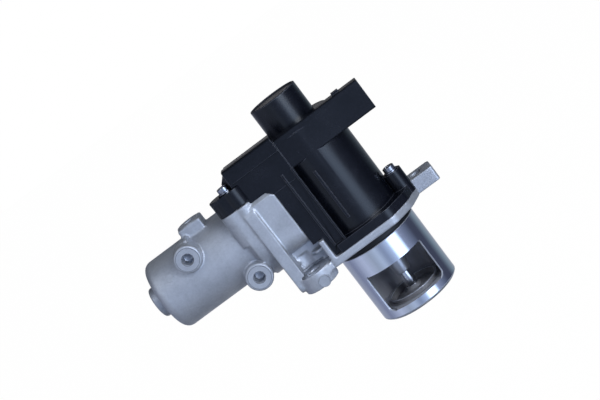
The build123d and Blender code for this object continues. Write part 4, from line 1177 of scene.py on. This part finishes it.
@dataclass
class Studio:
    """Camera, floor, lamps and world.

    Attributes:
        azimuth: Camera's turn about Z, in degrees.
        elevation: Camera's height, in degrees.
        roll: Roll of the camera, in degrees.
        distance: Distance to the object's origin along the view, in metres.
        shift: Where the origin stands from the picture's centre, in metres at that distance.
        lens: Focal length in millimetres, on a 36 mm wide sensor.
        floor_white: Share of plain white in what the camera sees of the floor.
        cards: Bearing in degrees and colour of the cards that show in glossy surfaces.
        card_heights: Between these two heights, as shares, the cards grow dimmer.
        back_heights: Between these two heights the cards behind the object fade.
        back_depths: Between these two depths a card counts as behind the object.
    """

    azimuth: float = 5.0
    elevation: float = 10.5
    roll: float = 37.5
    distance: float = 0.65
    shift: Pair = (0.0375, -0.01655)
    lens: float = 78.0
    floor_level: float = -0.0392
    floor_size: float = 6.0
    floor_white: float = 0.993
    lamp_colour: Triple = (0.90, 0.95, 1.0)
    lamp_target: Triple = (-0.02, 0.0, 0.03)
    card_strength: float = 3.2
    card_heights: Pair = (0.30, 0.95)
    card_dimming: float = 0.3
    back_heights: Pair = (0.02, 0.12)
    back_depths: Pair = (-0.1, 0.4)
    back_dimming: float = 0.9
    cards: tuple[tuple[float, Triple], ...] = (
        (-180.0, (0.29, 0.29, 0.31)), (-150.0, (0.11, 0.12, 0.15)), (-110.0, (0.07, 0.08, 0.12)),
        (-68.0, (0.15, 0.17, 0.23)), (-45.0, (0.11, 0.13, 0.17)), (-25.0, (0.14, 0.17, 0.23)),
        (-8.0, (0.08, 0.10, 0.15)), (12.0, (0.15, 0.19, 0.28)), (23.0, (0.56, 0.72, 1.00)),
        (39.0, (0.56, 0.72, 1.00)), (51.0, (0.085, 0.100, 0.150)), (75.0, (0.045, 0.055, 0.085)),
        (92.0, (0.018, 0.021, 0.034)), (112.0, (0.018, 0.021, 0.034)), (136.0, (0.06, 0.08, 0.10)),
        (162.0, (0.11, 0.12, 0.14)), (180.0, (0.29, 0.29, 0.31)),
    )

    def build(self) -> None:
        """Places the camera, floor, lamps and world."""
        self.place_camera()
        self.lay_floor()
        self.hang_lamps()
        self.fill_world()

    def view_axes(self) -> tuple[Vector, Vector, Vector]:
        """Works out the camera's right, up and backward directions.

        Returns:
            The three directions.
        """
        turn, tilt, roll = radians(self.azimuth), radians(self.elevation), radians(self.roll)
        back = Vector((sin(turn) * cos(tilt), -cos(turn) * cos(tilt), sin(tilt)))
        level = Vector((cos(turn), sin(turn), 0.0))
        upright = back.cross(level)
        right = cos(roll) * level - sin(roll) * upright
        up = sin(roll) * level + cos(roll) * upright
        return right, up, back

    def place_camera(self) -> None:
        """Adds the camera at the photograph's viewing angle."""
        right, up, back = self.view_axes()
        spot = back * self.distance - right * self.shift[0] - up * self.shift[1]
        deselect()
        bpy.ops.object.camera_add()
        camera = bpy.context.object
        camera.name = "camera"
        camera.data.lens = self.lens
        camera.data.sensor_width = 36.0
        camera.data.clip_start = 0.01
        turn = Matrix((right, up, back)).transposed().to_4x4()
        camera.matrix_world = Matrix.Translation(spot) @ turn
        bpy.context.scene.camera = camera

    def lay_floor(self) -> None:
        """Adds the pale floor under the cartridge."""
        deselect()
        bpy.ops.mesh.primitive_plane_add(size=self.floor_size, location=(0, 0, self.floor_level))
        bpy.ops.object.transform_apply(location=True, rotation=True, scale=True)
        floor = bpy.context.object
        floor.name = "floor"
        material = bpy.data.materials.new("pale_floor")
        material.use_nodes = True
        tree = material.node_tree
        shader = tree.nodes["Principled BSDF"]
        shader.inputs["Base Color"].default_value = (0.93, 0.93, 0.94, 1.0)
        shader.inputs["Roughness"].default_value = 0.9
        shader.inputs["Specular IOR Level"].default_value = 0.1
        glow = add_node(tree, "ShaderNodeEmission", {"Color": (1.0, 1.0, 1.0, 1.0), "Strength": 1.0})
        path = tree.nodes.new("ShaderNodeLightPath")
        share = math_node(tree, "MULTIPLY", path.outputs["Is Camera Ray"], self.floor_white)
        mix = add_node(tree, "ShaderNodeMixShader", {0: share, 1: shader.outputs[0], 2: glow.outputs[0]})
        tree.links.new(mix.outputs[0], tree.nodes["Material Output"].inputs["Surface"])
        floor.data.materials.append(material)
        floor.visible_glossy = False

    def hang_lamps(self) -> None:
        """Adds the soft lamps: a key from the right, one above in the picture and a fill from the left."""
        right, up, back = self.view_axes()
        lamps = (
            ("key_lamp", Vector((0.55, -0.78, 0.25)), 0.80, (0.32, 0.32), 2.6),
            ("top_lamp", up * 0.85 + back * 0.5, 0.75, (0.50, 0.36), 0.9),
            ("left_fill", back * 0.6 - right * 0.8 + up * 0.1, 0.80, (0.40, 0.50), 0.9),
        )
        for name, side, distance, size, power in lamps:
            offset = side.normalized() * distance
            deselect()
            bpy.ops.object.light_add(type="AREA")
            lamp = bpy.context.object
            lamp.name = name
            lamp.data.shape = "RECTANGLE"
            lamp.data.size, lamp.data.size_y = size
            lamp.data.energy = power
            lamp.data.color = self.lamp_colour
            aim = offset.to_track_quat("Z", "Y").to_matrix().to_4x4()
            lamp.matrix_world = Matrix.Translation(Vector(self.lamp_target) + offset) @ aim

    def card_colour(self, tree: Tree) -> Socket:
        """Builds the upright light and dark cards that stand round the object and show in its gloss.

        Args:
            tree: Node tree of the world.

        Returns:
            The colour of the cards.
        """
        place = tree.nodes.new("ShaderNodeTexCoord").outputs["Generated"]
        parts = add_node(tree, "ShaderNodeSeparateXYZ", {0: place}).outputs
        front = math_node(tree, "MULTIPLY", parts[1], -1.0)
        bearing = math_node(tree, "ARCTAN2", parts[0], front)
        share = math_node(tree, "ADD", math_node(tree, "DIVIDE", bearing, 2 * pi), 0.5)
        ramp = add_node(tree, "ShaderNodeValToRGB", {0: share})
        stops = ramp.color_ramp.elements
        stops.remove(stops[1])
        for index, (degrees, colour) in enumerate(self.cards):
            position = degrees / 360.0 + 0.5
            stop = stops[0] if index == 0 else stops.new(position)
            stop.position = position
            stop.color = (*colour, 1.0)
        height = math_node(tree, "ABSOLUTE", parts[2])
        fade = range_node(tree, height, self.card_heights, 1.0, self.card_dimming)
        rise = range_node(tree, parts[2], self.back_heights)
        behind = range_node(tree, parts[1], self.back_depths)
        shut = math_node(tree, "MULTIPLY", math_node(tree, "MULTIPLY", rise, behind), self.back_dimming)
        fade = math_node(tree, "MULTIPLY", fade, math_node(tree, "SUBTRACT", 1.0, shut))
        return mix_node(tree, fade, (0.0, 0.0, 0.0, 1.0), ramp.outputs[0])

    def fill_world(self) -> None:
        """Lights the object plainly, shows the cards in its gloss and white behind it."""
        scene = bpy.context.scene
        world = bpy.data.worlds.new("studio")
        scene.world = world
        world.use_nodes = True
        tree = world.node_tree
        tree.nodes.clear()
        path = tree.nodes.new("ShaderNodeLightPath")
        plain = add_node(tree, "ShaderNodeBackground", {"Color": (0.88, 0.93, 1.0, 1.0), "Strength": 0.26})
        white = add_node(tree, "ShaderNodeBackground", {"Color": (1.0, 1.0, 1.0, 1.0), "Strength": 1.0})
        glossy = {"Color": self.card_colour(tree), "Strength": self.card_strength}
        mirror = add_node(tree, "ShaderNodeBackground", glossy)
        shiny = math_node(tree, "MAXIMUM", path.outputs["Is Glossy Ray"], path.outputs["Is Transmission Ray"])
        lit = add_node(tree, "ShaderNodeMixShader", {0: shiny, 1: plain.outputs[0], 2: mirror.outputs[0]})
        straight = path.outputs["Is Camera Ray"]
        seen = add_node(tree, "ShaderNodeMixShader", {0: straight, 1: lit.outputs[0], 2: white.outputs[0]})
        out = tree.nodes.new("ShaderNodeOutputWorld")
        tree.links.new(seen.outputs[0], out.inputs["Surface"])
        scene.view_settings.view_transform = "Standard"


def dress_solids() -> None:
    """Gives every solid of the frame the finish of its material slot."""
    for entry in frame["record"]["subparts"]:
        node, slot = entry["node"], entry["material_slot"]
        solid = frame["nodes"][node]
        solid.data.materials.clear()
        solid.data.materials.append(MATERIALS[NODE_FINISH.get(node, slot)])
        LOG.info("solid %s: %s", node, slot)


def main() -> None:
    """Builds the valve's looks and the studio."""
    Studio().build()
    make_materials()
    dress_solids()
    for part in (BodyCasting(), DriveCover(), FlowCartridge(), ValveSeat(), CoverScrews()):
        part.build()


if __name__ == "__main__":
    main()
